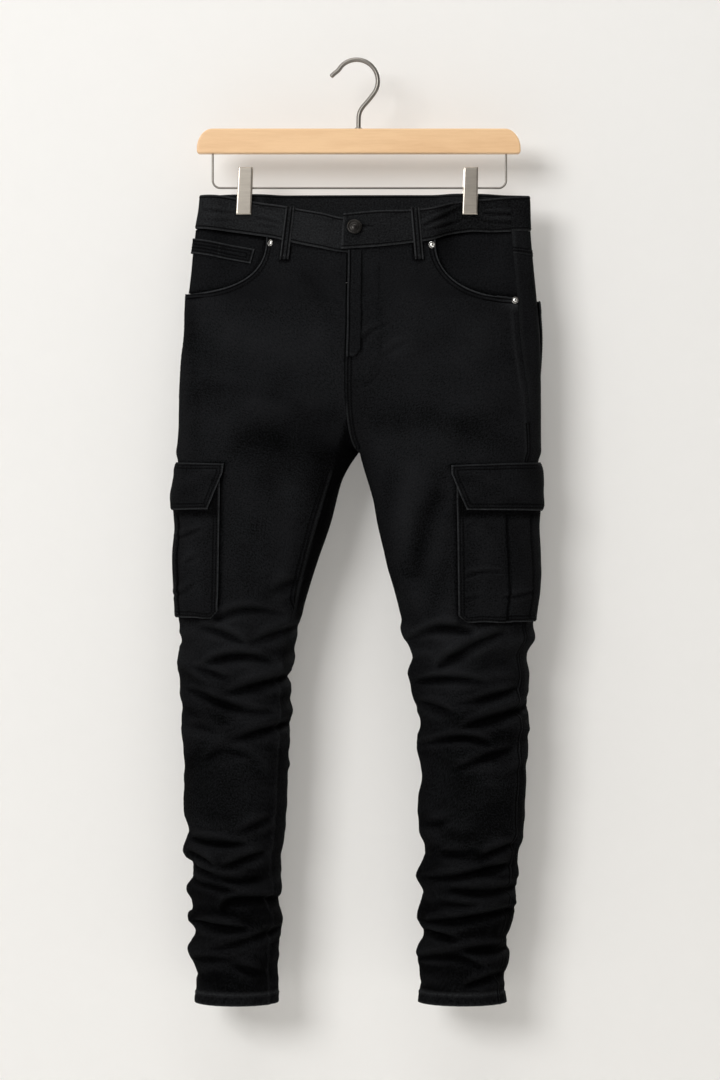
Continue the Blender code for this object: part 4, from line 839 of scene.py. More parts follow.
def fine_panel_grid(side, face):
    """t and drop for the fine panel, and how many of its rows end at the scoop or the yoke."""
    u = np.linspace(0, 1, PANEL_COLUMNS + 1)
    ts, drops = panel_top(side, face, u, 36 if face == "front" else 14)
    top_rows = len(ts)
    below = np.arange(HIPS_FIRST_ROW, HEM_STITCHED - 2, ROW_STEP)
    foot = [HEM_STITCHED, HEM_STITCHED + 0.9, HEM - 9, HEM - 5, HEM - 2.5, HEM - 1, HEM]
    for level in [*below, *foot]:
        low, high = span(side, face, level)
        ts.append(low + (high - low) * u)
        drops.append(np.full(PANEL_COLUMNS + 1, float(level)))
    return np.array(ts), np.array(drops), top_rows


def fine_cloth(side, face, t, drop):
    """The surface with its sharp creases and small wrinkles, for any piece that lies on it, and the relief
    that sets the cloth's tone: partly the wash's real fading, partly painted shade and painted light.
    """
    base = cloth(side, face, t, drop)
    normal = outward(side, face, plain, t, drop)
    x = base[..., 0]
    before = ease(0.5 - 1.2 * normal[..., 1])
    out = before * sharp_folds(FRONT_FOLDS, x, drop) + (1 - before) * sharp_folds(BACK_FOLDS, x, drop)
    out = out + before * rumple(x, drop, "front") + (1 - before) * rumple(x, drop, "back")
    out = out * ease((HEM - 6 - drop) / 20) * ease((drop - 215) / 40)
    out = out * (1 - ease((t - 0.7) / 0.25) * ease((CROTCH + 45 - drop) / 30))
    drags = before * folded(BROAD_FOLDS, x, drop)
    return base + normal * out[..., None], out + BROAD_SHADE * drags


# ---------------------------------------------------------------- materials

def new_look(name):
    """A new material, as one function that adds a node to it and one that sets its shader."""
    made = bpy.data.materials.new(name)
    made.use_nodes = True
    nodes, links = made.node_tree.nodes, made.node_tree.links

    def set_values(node, values):
        """Sets a node's own settings, and its inputs by name or, after a _, by number."""
        for key, value in values.items():
            if hasattr(node, key):
                setattr(node, key, value)
                continue
            socket = node.inputs[int(key[1:]) if key[0] == "_" else key.replace("_", " ")]
            if isinstance(value, bpy.types.NodeSocket):
                links.new(value, socket)
            else:
                socket.default_value = value

    def add(kind, out=0, **values):
        """Adds a node and gives one of its outputs."""
        node = nodes.new("ShaderNode" + kind)
        set_values(node, values)
        return node.outputs[out]

    def shade(**values):
        """Sets the shader and gives the finished material."""
        set_values(nodes["Principled BSDF"], values)
        return made

    return add, shade


def mix(add, share, low, high):
    """The mix of two colours, each a value or another node's output."""
    low, high = (c if isinstance(c, bpy.types.NodeSocket) else (*c, 1) for c in (low, high))
    return add("Mix", 2, data_type="RGBA", _0=share, _6=low, _7=high)


def seam_lines(add):
    """One along the rows of stitches beside each sewn edge, and nought away from them."""
    inset = add("Attribute", "Fac", attribute_name="inset")
    lines = []
    for row in STITCH_ROWS:
        off = add("Math", operation="SUBTRACT", _0=inset, _1=row / SEAMLESS)
        away = add("Math", operation="ABSOLUTE", _0=off)
        lines.append(add("MapRange", Value=away, From_Min=0.015, From_Max=0.06, To_Min=1.0, To_Max=0.0))
    return add("Math", operation="MAXIMUM", _0=lines[0], _1=lines[1])


def denim_look(name, dark, pale, worn):
    """Washed black twill: darker in the folds and paler on their ridges, partly the wash's real fading and
    partly painted shade and light, with painted shade in the stitch grooves and pale worn edges.
    """
    add, shade = new_look(name)
    place = add("TexCoord", "Object")
    uv = add("UVMap", "UV", uv_map="cloth")
    cloud = add("TexNoise", "Fac", Vector=place, Scale=24.0, Detail=5.0, Roughness=0.6)
    speck = add("TexNoise", "Fac", Vector=uv, Scale=480.0, Detail=4.0, Roughness=0.8)
    # The wash's real tone together with the painted shade and painted light stored on the cloth's points.
    dye = add("Attribute", "Fac", attribute_name="dye")
    tone = 0.0
    for part, weight in ((cloud, 0.4), (speck, 3.0), (dye, 1.0)):
        tone = add("Math", operation="MULTIPLY_ADD", _0=part, _1=weight, _2=tone)
    faded = add("MapRange", Value=tone, From_Min=1.67, From_Max=2.77)
    wear = add("Attribute", "Fac", attribute_name="wear")
    rub = add("TexNoise", "Fac", Vector=place, Scale=420.0, Detail=3.0, Roughness=0.7)
    rub = add("MapRange", Value=rub, From_Min=0.32, From_Max=0.64, To_Min=0.25)
    rubbed = add("Math", operation="MULTIPLY", _0=wear, _1=rub)
    sewn = seam_lines(add)
    # Painted shade in the grooves along the rows of stitches.
    painted_groove_shade = add("Math", operation="MULTIPLY", _0=sewn, _1=0.95)
    colour = mix(add, painted_groove_shade, mix(add, rubbed, mix(add, faded, dark, pale), worn), dark)
    twill = add("TexWave", "Fac", Vector=uv, Scale=560.0, Distortion=0.4, bands_direction="DIAGONAL")
    slub = add("TexNoise", "Fac", Vector=uv, Scale=1300.0, Detail=2.0)
    bump = add("Bump", Height=twill, Strength=0.4, Distance=0.00025)
    bump = add("Bump", Height=slub, Normal=bump, Strength=0.6, Distance=0.0004)
    bump = add("Bump", Height=sewn, Normal=bump, Strength=0.8, Distance=0.0005, invert=True)
    return shade(Base_Color=colour, Normal=bump, Roughness=0.88, Specular_IOR_Level=0.02)


def metal_look(name, colour, roughness, grain, stretch=(1, 1, 1)):
    add, shade = new_look(name)
    place = add("Mapping", Vector=add("TexCoord", "Object"), Scale=stretch)
    streak = add("TexNoise", "Fac", Vector=place, Scale=grain, Detail=4.0)
    tone = mix(add, streak, [c * 0.8 for c in colour], colour)
    rough = add("MapRange", Value=streak, To_Min=roughness - 0.06, To_Max=roughness + 0.1)
    bump = add("Bump", Height=streak, Strength=0.12, Distance=0.0002)
    return shade(Base_Color=tone, Roughness=rough, Normal=bump, Metallic=1.0)


def wood_look():
    """Pale varnished wood with its grain along the bar."""
    add, shade = new_look("wood_grain")
    place = add("Mapping", Vector=add("TexCoord", "Object"), Scale=(6, 60, 60))
    bend = add("TexNoise", "Fac", Vector=place, Scale=1.3, Detail=3.0)
    lines = add("TexNoise", "Fac", Vector=place, Scale=5.0, Detail=6.0, Roughness=0.65, Distortion=0.4)
    both = add("Math", operation="MULTIPLY_ADD", _0=lines, _1=0.6, _2=bend)
    tone = add("ValToRGB", "Color", Fac=both)
    low, high = tone.node.color_ramp.elements
    low.position, low.color = 0.45, (0.735, 0.45, 0.235, 1)
    high.position, high.color = 0.95, (0.865, 0.575, 0.325, 1)
    bump = add("Bump", Height=lines, Strength=0.08, Distance=0.0004)
    return shade(Base_Color=tone, Normal=bump, Roughness=0.45, Coat_Weight=0.15, Coat_Roughness=0.25)


def thread_look():
    add, shade = new_look("thread")
    twist = add("TexNoise", "Fac", Vector=add("TexCoord", "Object"), Scale=1400.0)
    tone = mix(add, twist, (0.002, 0.002, 0.0022), (0.011, 0.0113, 0.012))
    return shade(Base_Color=tone, Roughness=0.8, Specular_IOR_Level=0.05)


def wall_look(name, colour, one_sided):
    """Matt paint with a faint tooth; a one-sided wall is clear from behind, and to the light there."""
    add, shade = new_look(name)
    tooth = add("TexNoise", "Fac", Vector=add("TexCoord", "Object"), Scale=60.0, Detail=4.0)
    tone = mix(add, tooth, [c * 0.985 for c in colour], colour)
    made = shade(Base_Color=tone, Roughness=0.95, Specular_IOR_Level=0.1,
                 Emission_Color=(1.0, 0.965, 0.915, 1), Emission_Strength=0.145)
    if one_sided:
        nodes = made.node_tree.nodes
        behind, shadow = add("NewGeometry", "Backfacing"), add("LightPath", "Is Shadow Ray")
        share = add("Math", operation="MAXIMUM", _0=behind, _1=shadow)
        paint = nodes["Principled BSDF"].outputs[0]
        either = add("MixShader", _0=share, _1=paint, _2=add("BsdfTransparent"))
        made.node_tree.links.new(either, nodes["Material Output"].inputs["Surface"])
    return made


# ---------------------------------------------------------------- garment pieces

# Cut sizes before sewing: width and length in metres. The legs were cut longer than they hang.
CUTS = {
    "front": (0.29, 1.03), "back": (0.33, 1.00), "yoke": (0.24, 0.085), "facing": (0.15, 0.10),
    "coin_pocket": (0.085, 0.045), "band_front": (0.235, 0.088), "band_back": (0.46, 0.088),
    "loop": (0.03, 0.085), "fly": (0.06, 0.15), "cargo": (0.20, 0.21), "flap": (0.175, 0.13),
    "back_pocket": (0.165, 0.175),
}
OVER = 0.1             # height of the stitches' middle over the cloth


def faces_in(points, row, column, behind=False):
    """Whether a grid's normals point into the garment, seen at one of its places before or behind it."""
    normal_y = grid_normals(points, False)[row, column, 1]
    return bool(normal_y < 0 if behind else normal_y > 0)


def make_piece(node, cut, points, flip, look, thick, lift=0.0, wear=0.0, dye=0.5, inset=SEAMLESS,
               rows=None, parallel=False):
    """A piece of cloth that stands for its solid, with rows of stitches by the letters of its edges."""
    normals = grid_normals(points, flip)
    points = points + normals * np.broadcast_to(lift, points.shape[:2])[..., None]
    for edges, insets in (rows or {}).items():
        for edge in edges:
            sew(points + normals * OVER, edge, insets)
    if not parallel:
        normals = grid_normals(points, flip)
    obj = shell(f"cloth_{node}", points, normals, thick, look, wear, dye, inset)
    declare_cloth(node, CUTS[cut])


JOIN_ROWS = 9          # how many rows the join of a panel's upper and lower grids is eased over

# The fly's curved stitching as places x, drop, and the creases that its end draws.
J_STITCH = ((26, 246), (27, 280), (28, 330), (27.5, 352), (24, 367), (16, 378), (5, 384), (-5, 386))
FLY_CREASES = (FOLD, (
    (6, 349, 11, 332, 37, 317, 1.5, 6, 0), (-4, 392, 16, 386, 31, 366, 1.1, 5, 0),
    (30, 358, 44, 347, 60, 340, 1.0, 7, 0), (3, 300, 8, 294, 18, 291, 0.5, 4, 0),
))


def sew_line(points, x, drop, line):
    """A row of stitches along places given by x and drop."""
    path = []
    for place in fill_line(np.array(line, float), 6):
        away = np.hypot(x - place[0], drop - place[1])
        row, column = np.unravel_index(np.argmin(away), away.shape)
        near = points[row, column].copy()
        near[0], near[2] = place[0], near[2] + drop[row, column] - place[1]
        path.append(near)
    SEWN.append(np.array(path))


# Where the right leg's inseam lies as the leg hangs turned, and where painted shade darkens the cloth beyond
# it.
TURNED_SEAM = (("drop", "x"), (
    (425, -13.0), (452, -19.5), (466, -23.5), (494, -31.0), (514, -37.0), (554, -49.0), (598, -61.0),
    (642, -71.5), (690, -80.0),
))
TURNED_TOP, TURNED_FOOT = 425.0, 680.0
TURNED_SEWN = 486.0    # the crotch, where its double stitching starts


def turned_seam(x, drop):
    """Signed distance inside the turned inseam, and how surely a level has one."""
    line = read(TURNED_SEAM, "x", drop)
    return (line - x) * 0.94, ease((drop - TURNED_TOP) / 12) * ease((TURNED_FOOT - drop) / 40)


def ease_join(points, row):
    """Rounds the depth of the rows around one row, so that no ridge runs across the cloth there."""
    low, high = row - JOIN_ROWS, row + JOIN_ROWS
    weight = np.sin(math.pi * np.linspace(0, 1, high - low))[:, None] * 0.5
    for _ in range(60):
        depth = points[low - 1:high + 1, :, 1]
        points[low:high, :, 1] += weight * (0.5 * (depth[:-2] + depth[2:]) - depth[1:-1])


def mark_front(p):
    """A front panel's side seam, turned scoop edge and centre seam, and the painted shade and painted light
    on its cloth.
    """
    left, drop = p.side == "left", p.drop
    below_scoop = ease((drop - SCOOPS[p.side]["bottom"] - 3) / 6)
    # Painted shade and light from the SHADES table, and painted contact shade beside the band, loops, cargo
    # pocket and flap.
    p.dye -= shaded(SHADES, p.x, drop) + 0.55 * painted_contact_shade(p.side, p.x, drop)
    p.lift += seam_ridge(p.from_side, drop) * below_scoop
    p.lift += seam_ridge(p.from_centre, drop) * ease((drop - CROTCH) / 12)
    high = ease((600 - drop) / 60)
    p.wear += (0.07 + 0.15 * high) * bell((p.from_side - SEAM_WIDTH) / 1.6) * below_scoop
    near = p.top_rows + 6
    for place in fill_line(p.points[:p.top_rows, 0], 4):
        away = np.linalg.norm(p.points[:near] - place, axis=-1)
        p.edge[:near] = np.minimum(p.edge[:near], away)
    roll = 0.75 + 0.35 * np.sin(math.pi * np.clip(p.edge / SCOOP_ROLL, 0, 1))
    p.lift += 0.8 * ease((SCOOP_ROLL - p.edge) / 1.5) * roll
    p.wear += 0.9 * bell(p.edge / 2.0)
    sewn_side = below_scoop * (ease((drop - SIDE_TURN) / 4) if left else 1.0)
    sewn_centre = ease((drop - FLY["top"] - FLY["height"] + 4) / 4) * ease((CROTCH - drop) / 4) * left
    p.inset = np.minimum(p.inset, p.edge)
    p.inset = np.minimum(p.inset, p.from_side + SEAMLESS * (1 - sewn_side))
    p.inset = np.minimum(p.inset, p.from_centre + SEAMLESS * (1 - sewn_centre))
    for away in (p.from_centre, p.from_side):
        p.wear += 0.22 * bell((away - 5.0) / 1.1) * ease((drop - 700) / 60)
    if left:
        by_crotch = ease((drop - 408) / 15) * ease((478 - drop) / 10)
        p.wear += 0.5 * bell(p.from_centre / 2.5) * by_crotch


def mark_turned(p):
    """The right leg's inseam, which shows from before, and painted shade on the cloth that turns away beyond
    it.
    """
    p.within, here = turned_seam(p.x, p.drop)
    front_of = ease(0.5 - 2 * outward(p.side, p.face, plain, p.t, p.drop)[..., 1]) * here
    below_crotch = ease((p.drop - TURNED_SEWN) / 10)
    # Painted shade on the cloth that turns away beyond the inseam.
    p.dye -= 0.95 * front_of * ease(-p.within / 5)
    p.wear += 0.35 * front_of * bell(p.within / 1.6) * below_crotch
    p.lift += 0.5 * front_of * ease((9 - p.within) / 2) * ease(p.within / 2) * below_crotch
    if p.face == "front":
        sewn = here * ease((p.drop - TURNED_SEWN) / 4) * (p.within > -6)
        p.inset = np.minimum(p.inset, np.abs(p.within) + SEAMLESS * (1 - sewn))


def mark_hem(p):
    """The turned hem: its step, its roping and its wear. It stays flat where it is sewn into a seam."""
    hem = ease((p.drop - (HEM_STITCHED - 0.2)) / 0.9)
    sewn_in = ease(np.minimum(p.from_side, p.from_centre) / 4)
    rope = 0.3 * np.sin(2 * math.pi * (p.run + 0.7 * p.drop) / 9.0) + 0.25 * noise(p.run / 7, p.drop / 30, 71)
    p.lift += hem * (0.9 + rope) * sewn_in
    p.wear += 0.6 * bell((HEM - p.drop) / 1.6) + 0.5 * bell((p.drop - HEM_STITCHED) / 1.0)
    p.dye += hem * (0.4 * rope + 0.22)


def mark_fly(p):
    """The left panel beside the fly: its curved stitching, the creases that it draws, painted shade in them
    and along the stitching, and puckers.
    """
    line = fill_line(np.array(J_STITCH, float), 8)
    creases = sharp_folds(FLY_CREASES, p.x, p.drop)
    # Painted light on the creases' ridges, painted shade in them, and painted shade along the curved
    # stitching.
    p.dye += 0.12 * creases - 0.2 * bell(away_from(line.T, p.x, p.drop) / 2.2)
    fly = ease((p.x + 6) / 4) * ease((27 - p.x) / 6) * ease((p.drop - 240) / 20) * ease((372 - p.drop) / 15)
    p.lift += creases + 0.35 * fly * noise(p.x / 14, p.drop / 6, 61)


def first_row(column, level):
    """The first row of a column of drops that is below a level."""
    return int(np.argmax(column > level))


def sew_panel(p, cloth_points):
    """The rows of stitches on a panel."""
    outer, inner = p.drop[:, 0], p.drop[:, -1]
    if p.face == "back":
        sew(cloth_points, "l", STITCH_ROWS[:1], 2, first_row(outer, SIDE_TURN))
        if p.side == "left":
            sew(cloth_points, "r", STITCH_ROWS, 2, first_row(inner, CROTCH - 8))
    else:
        rim = np.minimum.accumulate(p.edge[:, ::-1], axis=1)[:, ::-1]
        sew(cloth_points, "l", STITCH_ROWS[1:], 1, p.top_rows, rim)
        if p.side == "left":
            start = first_row(inner, FLY["top"] + FLY["height"])
            sew(cloth_points, "r", STITCH_ROWS, start, first_row(inner, CROTCH - 4))
            sew_line(cloth_points, p.x, p.drop, J_STITCH)
        else:
            sew(cloth_points, "l", STITCH_ROWS[:1], p.top_rows, len(p.drop))
            start, foot = first_row(inner, TURNED_SEWN), first_row(inner, TURNED_FOOT - 40)
            sew(cloth_points, "r", STITCH_ROWS, start, foot, p.within)
    sew(cloth_points, "b", (HEM_HEIGHT - 2.0,))


DARKER_TOWARDS_HEMS = ((0.27, 690.0, 110.0), (0.15, 900.0, 120.0))    # how the cloth's colour darkens towards the hems: by how much, from where, and over what height


def make_panel(side, face, look):
    t, drop, top_rows = fine_panel_grid(side, face)
    points, height = fine_cloth(side, face, t, drop)
    ease_join(points, top_rows)
    run = runs(points)
    p = SimpleNamespace(side=side, face=face, t=t, drop=drop, top_rows=top_rows, points=points,
                        x=points[..., 0], run=run, from_side=run, from_centre=run[:, -1:] - run,
                        lift=np.zeros(t.shape), wear=np.zeros(t.shape), edge=np.full(t.shape, 1e9),
                        inset=np.full(t.shape, SEAMLESS))
    # Paler on the folds' ridges and darker in their troughs: partly the wash's real fading, partly painted
    # shade and painted light.
    p.dye = 0.52 + 0.38 * np.tanh(height / 3.5)
    p.dye -= sum(amount * ease((drop - start) / height) for amount, start, height in DARKER_TOWARDS_HEMS)
    if face == "front":
        mark_front(p)
    else:
        p.lift += 0.45 * seam_ridge(p.from_side, drop)
        p.wear += 0.5 * bell((p.from_side - 1.5) / 1.3) * ease((SIDE_TURN - 5 - drop) / 10)
    if side == "right":
        mark_turned(p)
    mark_hem(p)
    flip = not faces_out(side, face)
    normals = grid_normals(points, flip)
    # Painted shade where the cloth turns away from the front towards the sides.
    p.dye -= 0.16 * bell(normals[..., 1] / 0.3)
    if face == "front" and side == "left":
        mark_fly(p)
    points = points + normals * p.lift[..., None]
    sew_panel(p, points + normals * OVER)
    name = f"{face}_{side}"
    obj = shell(f"cloth_{name}", points, grid_normals(points, flip), SHELL, look, p.wear, p.dye, p.inset)
    declare_cloth(name, CUTS[face])


def fill_line(line, each):
    """A polyline with more points between its own."""
    parts = [line[i] + (line[i + 1] - line[i]) * f for i in range(len(line) - 1)
             for f in np.linspace(0, 1, each, endpoint=False)]
    return np.array(parts + [line[-1]])


def edge_wear(points, reach, amount, sides="tblr"):
    """Wear along the chosen edges of a grid, and the distances to the nearest and to each of all four."""
    run, fall = runs(points), falls(points)
    distances = {"l": run, "r": run[:, -1:] - run, "t": fall, "b": fall[-1:] - fall}
    worn = sum(amount * bell(distances[s] / reach) for s in sides)
    return worn, nearest_of(distances, "tblr"), distances


def nearest_of(distances, sides):
    return np.minimum.reduce([distances[s] for s in sides])


def puckers(distance, drop, nearest, level):
    """The ripple along a stitched edge, by drop beside it and by the distance round where it runs level."""
    along = np.where(level, distance, drop)
    return 0.22 * np.sin(2 * math.pi * along / ROPE) * bell((nearest - 5.0) / 3.0)


def make_yoke(side, look):
    u, v = np.meshgrid(np.linspace(0, 1, 70), np.linspace(0, 1, 20))
    t, top = back_edge(side, "bottom", u)
    foot = back_edge(side, "yoke", u)[1]
    drop = between((top + GAP, foot), v)
    points, _ = fine_cloth(side, "back", t, drop)
    wear, _, distances = edge_wear(points, 2.0, 0.2, "b")
    lift = 0.6 * ease((8 - distances["b"]) / 2)
    wear = wear + 0.6 * bell((distances["l"] - 1.5) / 1.3)
    make_piece(f"yoke_{side}", "yoke", points, not faces_out(side, "back"), look, SHELL, lift, wear,
               inset=distances["b"], rows={"b": STITCH_ROWS})


FACING_UP = 5.0        # how far a facing runs up behind the waistband
FACING_UP_DEPTH = 2.2


def make_facing(side, look):
    low, _ = span(side, "front", YOKE_LEVEL)
    t, v = np.meshgrid(np.linspace(low - 0.003, facing_end(side), 70), np.linspace(0, 1, 44))
    top, foot = facing_edges(side, t)
    drop = between((top - FACING_UP, foot), v)
    under_band = FACING_UP_DEPTH * (1 - ease((drop - top) / 1.5))
    points = raised(side, "front", t, drop, facing_depth(side, t, drop) - under_band)
    puff = 0.5 * noise(points[..., 0] / 30, drop / 22, 5)
    flip = not faces_out(side, "front")
    x = (points + grid_normals(points, flip) * puff[..., None])[..., 0]
    edge_t, edge_drop = np.array([scoop_edge(side, f) for f in np.linspace(0, 1, 60)]).T
    away = away_from((plain(side, "front", edge_t, edge_drop)[:, 0], edge_drop), x, drop)
    # Painted shadow on the facing just inside the scoop's turned edge, and under the waistband.
    dye = 0.5 - 0.5 * bell(away / 4.5) - 0.4 * bell((drop - top) / 3.0)
    make_piece(f"facing_{side}", "facing", points, flip, look, 1.0, puff, 0.0, dye, parallel=True)


def make_coin_pocket(look):
    u, v = np.meshgrid(np.linspace(0, 1, 80), np.linspace(0, 1, 24))
    low = 2 * span("right", "front", YOKE_LEVEL)[0]
    end = between((COIN["x_top"], COIN["x_foot"]), v)
    t = between((low, front_t("right", end, COIN["top"] + COIN["fall"] + COIN["height"] * v)), u)
    x = waist_x("right", t)
    fallen = (x - x[:, :1]) / (x[:, -1:] - x[:, :1])
    drop = COIN["top"] + COIN["fall"] * fallen + COIN["height"] * v
    points = raised("right", "front", t, drop, facing_depth("right", t, drop) + COIN["lift"] + COIN["cloth"])
    wear, nearest, distances = edge_wear(points, 1.6, 0.65, "tbr")
    wear = wear + 0.35 * bell((x + 161.6) / 0.8)
    make_piece("coin_pocket", "coin_pocket", points, not faces_out("right", "front"), look, 0.9,
               0.35 * ease((2.5 - nearest) / 1.2), wear, 0.55, nearest_of(distances, "tbr"),
               {"tbr": STITCH_ROWS}, parallel=True)


def make_band(node, cut, points, flip, look, dye, ends, drags=0.0):
    """A piece of the waistband: rounds its edges, raises its stitched borders and wears them pale."""
    normals = grid_normals(points, flip)
    points = points + normals * np.broadcast_to(drags, points.shape[:2])[..., None]
    wear, _, distances = edge_wear(points, 2.0, 0.45, "tb")
    for s in ends:
        wear = wear + 0.6 * bell(distances[s] / 1.8)
    border = nearest_of(distances, "tb")
    lift = -0.9 * (1 - ease(border / 2.0)) + 0.35 * noise(points[..., 0] / 16, points[..., 2] / 26, 21)
    lift -= 0.25 * (bell((distances["t"] - 4.5) / 0.8) + bell((distances["b"] - 4.0) / 0.8))
    points = points + normals * lift[..., None]
    # Painted shade on the back band's ends, which turn away round the sides.
    if not ends:
        dye = dye - 0.34 * ease((np.abs(points[..., 0]) - 165) / 12)
    make_piece(node, cut, points, flip, look, 2.4, 0.0, wear, dye, np.minimum(border, 5.0),
               {"tb" + ends: STITCH_ROWS[:1]})


# The keyhole that the button goes through, in the left end of the waistband.
BUTTONHOLE = {"x": 12.5, "half": 8.0, "drop": 199.5}

# Creases that the clips drag into the waistband.
BAND_DRAGS = (FOLD, (
    (-186, 178, -168, 180, -149, 181, 1.6, 4, 0), (-187, 190, -166, 191, -149, 191, 1.4, 4, 0),
    (-124, 174, -106, 178, -86, 183, 1.5, 4, 0), (-125, 187, -108, 191, -88, 198, 1.7, 4, 0),
    (-126, 196, -104, 199, -90, 205, 1.0, 4, 0), (-74, 184, -50, 190, -22, 193, 0.9, 5, 0),
    (78, 200, 98, 190, 125, 174, 2.4, 5, 0), (80, 205, 100, 200, 129, 188, 2.0, 4, 0),
    (82, 186, 98, 181, 122, 168, 1.4, 4, 0), (150, 181, 176, 184, 200, 182, 2.0, 4, 0),
    (148, 190, 172, 194, 200, 194, 1.7, 4, 0), (30, 190, 44, 187, 66, 180, 0.9, 5, 0),
))


def make_band_front(side, look):
    low, _ = span(side, "front", BAND_LEVEL)
    end = front_t(side, UNDERLAP_X if side == "right" else OVERLAP_X, BAND_LEVEL)
    t, v = np.meshgrid(np.linspace(low, end, 130), np.linspace(0, 1, 26))
    x = waist_x(side, t)
    drop = between([read(BAND_FRONT[side], edge, x) for edge in ("top", "bottom")], v)
    under = ease((x - UNDERLAP_FROM) / UNDERLAP_RUN) * UNDERLAP_DEPTH * (side == "right")
    points = raised(side, "front", t, drop, BAND_OUT - under)
    drags = 0.5 * sharp_folds(BAND_DRAGS, x, drop)
    dye = 0.6
    if side == "left":
        off = np.clip(np.abs(x - BUTTONHOLE["x"]) - BUTTONHOLE["half"], 0, None)
        hole = np.hypot(off, drop - BUTTONHOLE["drop"])
        wedge = 1.0 + 1.1 * np.clip((BUTTONHOLE["x"] - x) / BUTTONHOLE["half"], 0, 1)
        drags += 0.4 * bell((hole - 2.8) / 0.9) - 1.6 * bell(hole / wedge)
        # Painted shade: the left band, on the side away from the light, is darker.
        dye = 0.4
    # Painted light on the drags' ridges, painted shade in their creases, and painted shade towards the left
    # side, away from the light.
    dye = dye + 0.34 * np.tanh(drags / 1.6) - 0.22 * ease((x - 80) / 50)
    flip = not faces_out(side, "front")
    make_band(f"band_front_{side}", "band_front", points, flip, look, dye, "r", drags)


def make_band_back(look):
    ends = SIDE["right"] - 360 + BAND_SHORT, SIDE["left"] - BAND_SHORT
    angle, v = np.meshgrid(np.linspace(*ends, 210), np.linspace(0, 1, 26))
    drop = between([read(BAND_BACK, edge, angle) for edge in ("top", "bottom")], v)
    points = back_ring(angle, drop, BAND_OUT)
    make_band("band_back", "band_back", points, faces_in(points, 13, 105, True), look, 0.6, "")


def make_loop(name, points, behind, look):
    """A belt loop: two stitched ridges, turned ends, and wear on its edges."""
    rows, columns = points.shape[:2]
    across, down = np.meshgrid(np.abs(np.linspace(-1, 1, columns)), np.linspace(0, 1, rows))
    ridges = 0.45 * bell((across - 0.62) / 0.2) - 0.3 * bell(across / 0.3)
    edge = -0.8 * np.clip((across - 0.85) / 0.15, 0, 1) ** 2
    ends = 0.5 * (bell((down - 0.04) / 0.03) + bell((down - 0.95) / 0.03))
    wear = 0.55 * bell((across - 0.85) / 0.16) + 0.35 * ends / 0.5
    make_piece(f"loop_{name}", "loop", points, faces_in(points, 30, 7, behind), look, LOOP_THICK,
               ridges + edge + ends, wear, 0.5, LOOP_WIDTH / 2 * (1 - across),
               {"lr": (2.6,), "tb": (1.2, 2.2, 3.2)})


def make_front_loop(side, look):
    loop = FRONT_LOOPS[side]
    u, v = np.meshgrid(np.linspace(-0.5, 0.5, 15), np.linspace(0, 1, 60))
    x = between((loop["x_top"], loop["x_foot"]), v) + LOOP_WIDTH * u
    drop = between((loop["top"], loop["foot"]), v)
    points = raised(side, "front", front_t(side, x, drop), drop, LOOP_LIFT + LOOP_THICK)
    make_loop(f"front_{side}", points, False, look)


def make_back_loop(name, middle, look):
    u, v = np.meshgrid(np.linspace(-0.5, 0.5, 15), np.linspace(0, 1, 60))
    ends = back_ring(np.array([[middle - 1.0, middle + 1.0]]), np.full((1, 2), LOOP_LEVEL), 0.0)[0]
    per_degree = np.linalg.norm(ends[1] - ends[0]) / 2
    angle = middle + LOOP_WIDTH * u / per_degree
    drop = between((read(BAND_BACK, "top", angle) + BACK_LOOP_BELOW, BACK_LOOP_FOOT), v)
    make_loop(name, back_ring(angle, drop, LOOP_LIFT + LOOP_THICK), True, look)


def make_fly(look):
    u, v = np.meshgrid(np.linspace(0, 1, 16), np.linspace(0, 1, 90))
    narrowed = FLY["rounded"] * np.clip((v - FLY["round_from"]) / (1 - FLY["round_from"]), 0, 1) ** 2.2
    x = FLY["x"] + FLY["width"] * (1 - narrowed) * u
    drop = FLY["top"] + FLY["height"] * v
    t = np.minimum(front_t("left", x, BAND_LEVEL), 0.999)
    points = raised("left", "front", t, drop, FLY["lift"] + FLY["cloth"])
    wear, nearest, distances = edge_wear(points, 1.4, 0.7, "l")
    lift = -0.5 * (1 - ease(nearest / 1.8)) + 0.2 * noise(points[..., 0] / 9, drop / 12, 31)
    lift -= 0.9 * (1 - ease(nearest_of(distances, "rb") / 6))
    lift -= 0.25 * bell((distances["l"] - 6.5) / 1.5)
    # Painted shade along the placket's right edge, where it steps down to the panel.
    dye = 0.5 - 0.12 * bell(distances["r"] / 1.6)
    wear = wear + 0.25 * bell((distances["b"] - 4) / 1.0)
    make_piece("fly_placket", "fly", points, not faces_out("left", "front"), look, 1.0, lift, wear, dye,
               np.minimum(distances["l"], 5.0), {"l": STITCH_ROWS[:1], "b": (3.0, 4.0)})


# Creases in the cargo pockets' cloth.
CARGO_CREASES = (FOLD, (
    (127, 618, 148, 612, 174, 612, 1.6, 5, 0), (173, 642, 192, 640, 212, 634, 1.8, 5, 0),
    (127, 559, 134, 556, 141, 554, 1.0, 4, 0), (131, 645, 140, 641, 152, 640, 1.0, 5, 0),
    (-215, 572, -198, 566, -181, 560, 1.4, 6, 0), (-206, 604, -198, 598, -187, 591, 1.2, 6, 0),
    (-218, 640, -204, 634, -190, 622, 1.2, 6, 0),
))


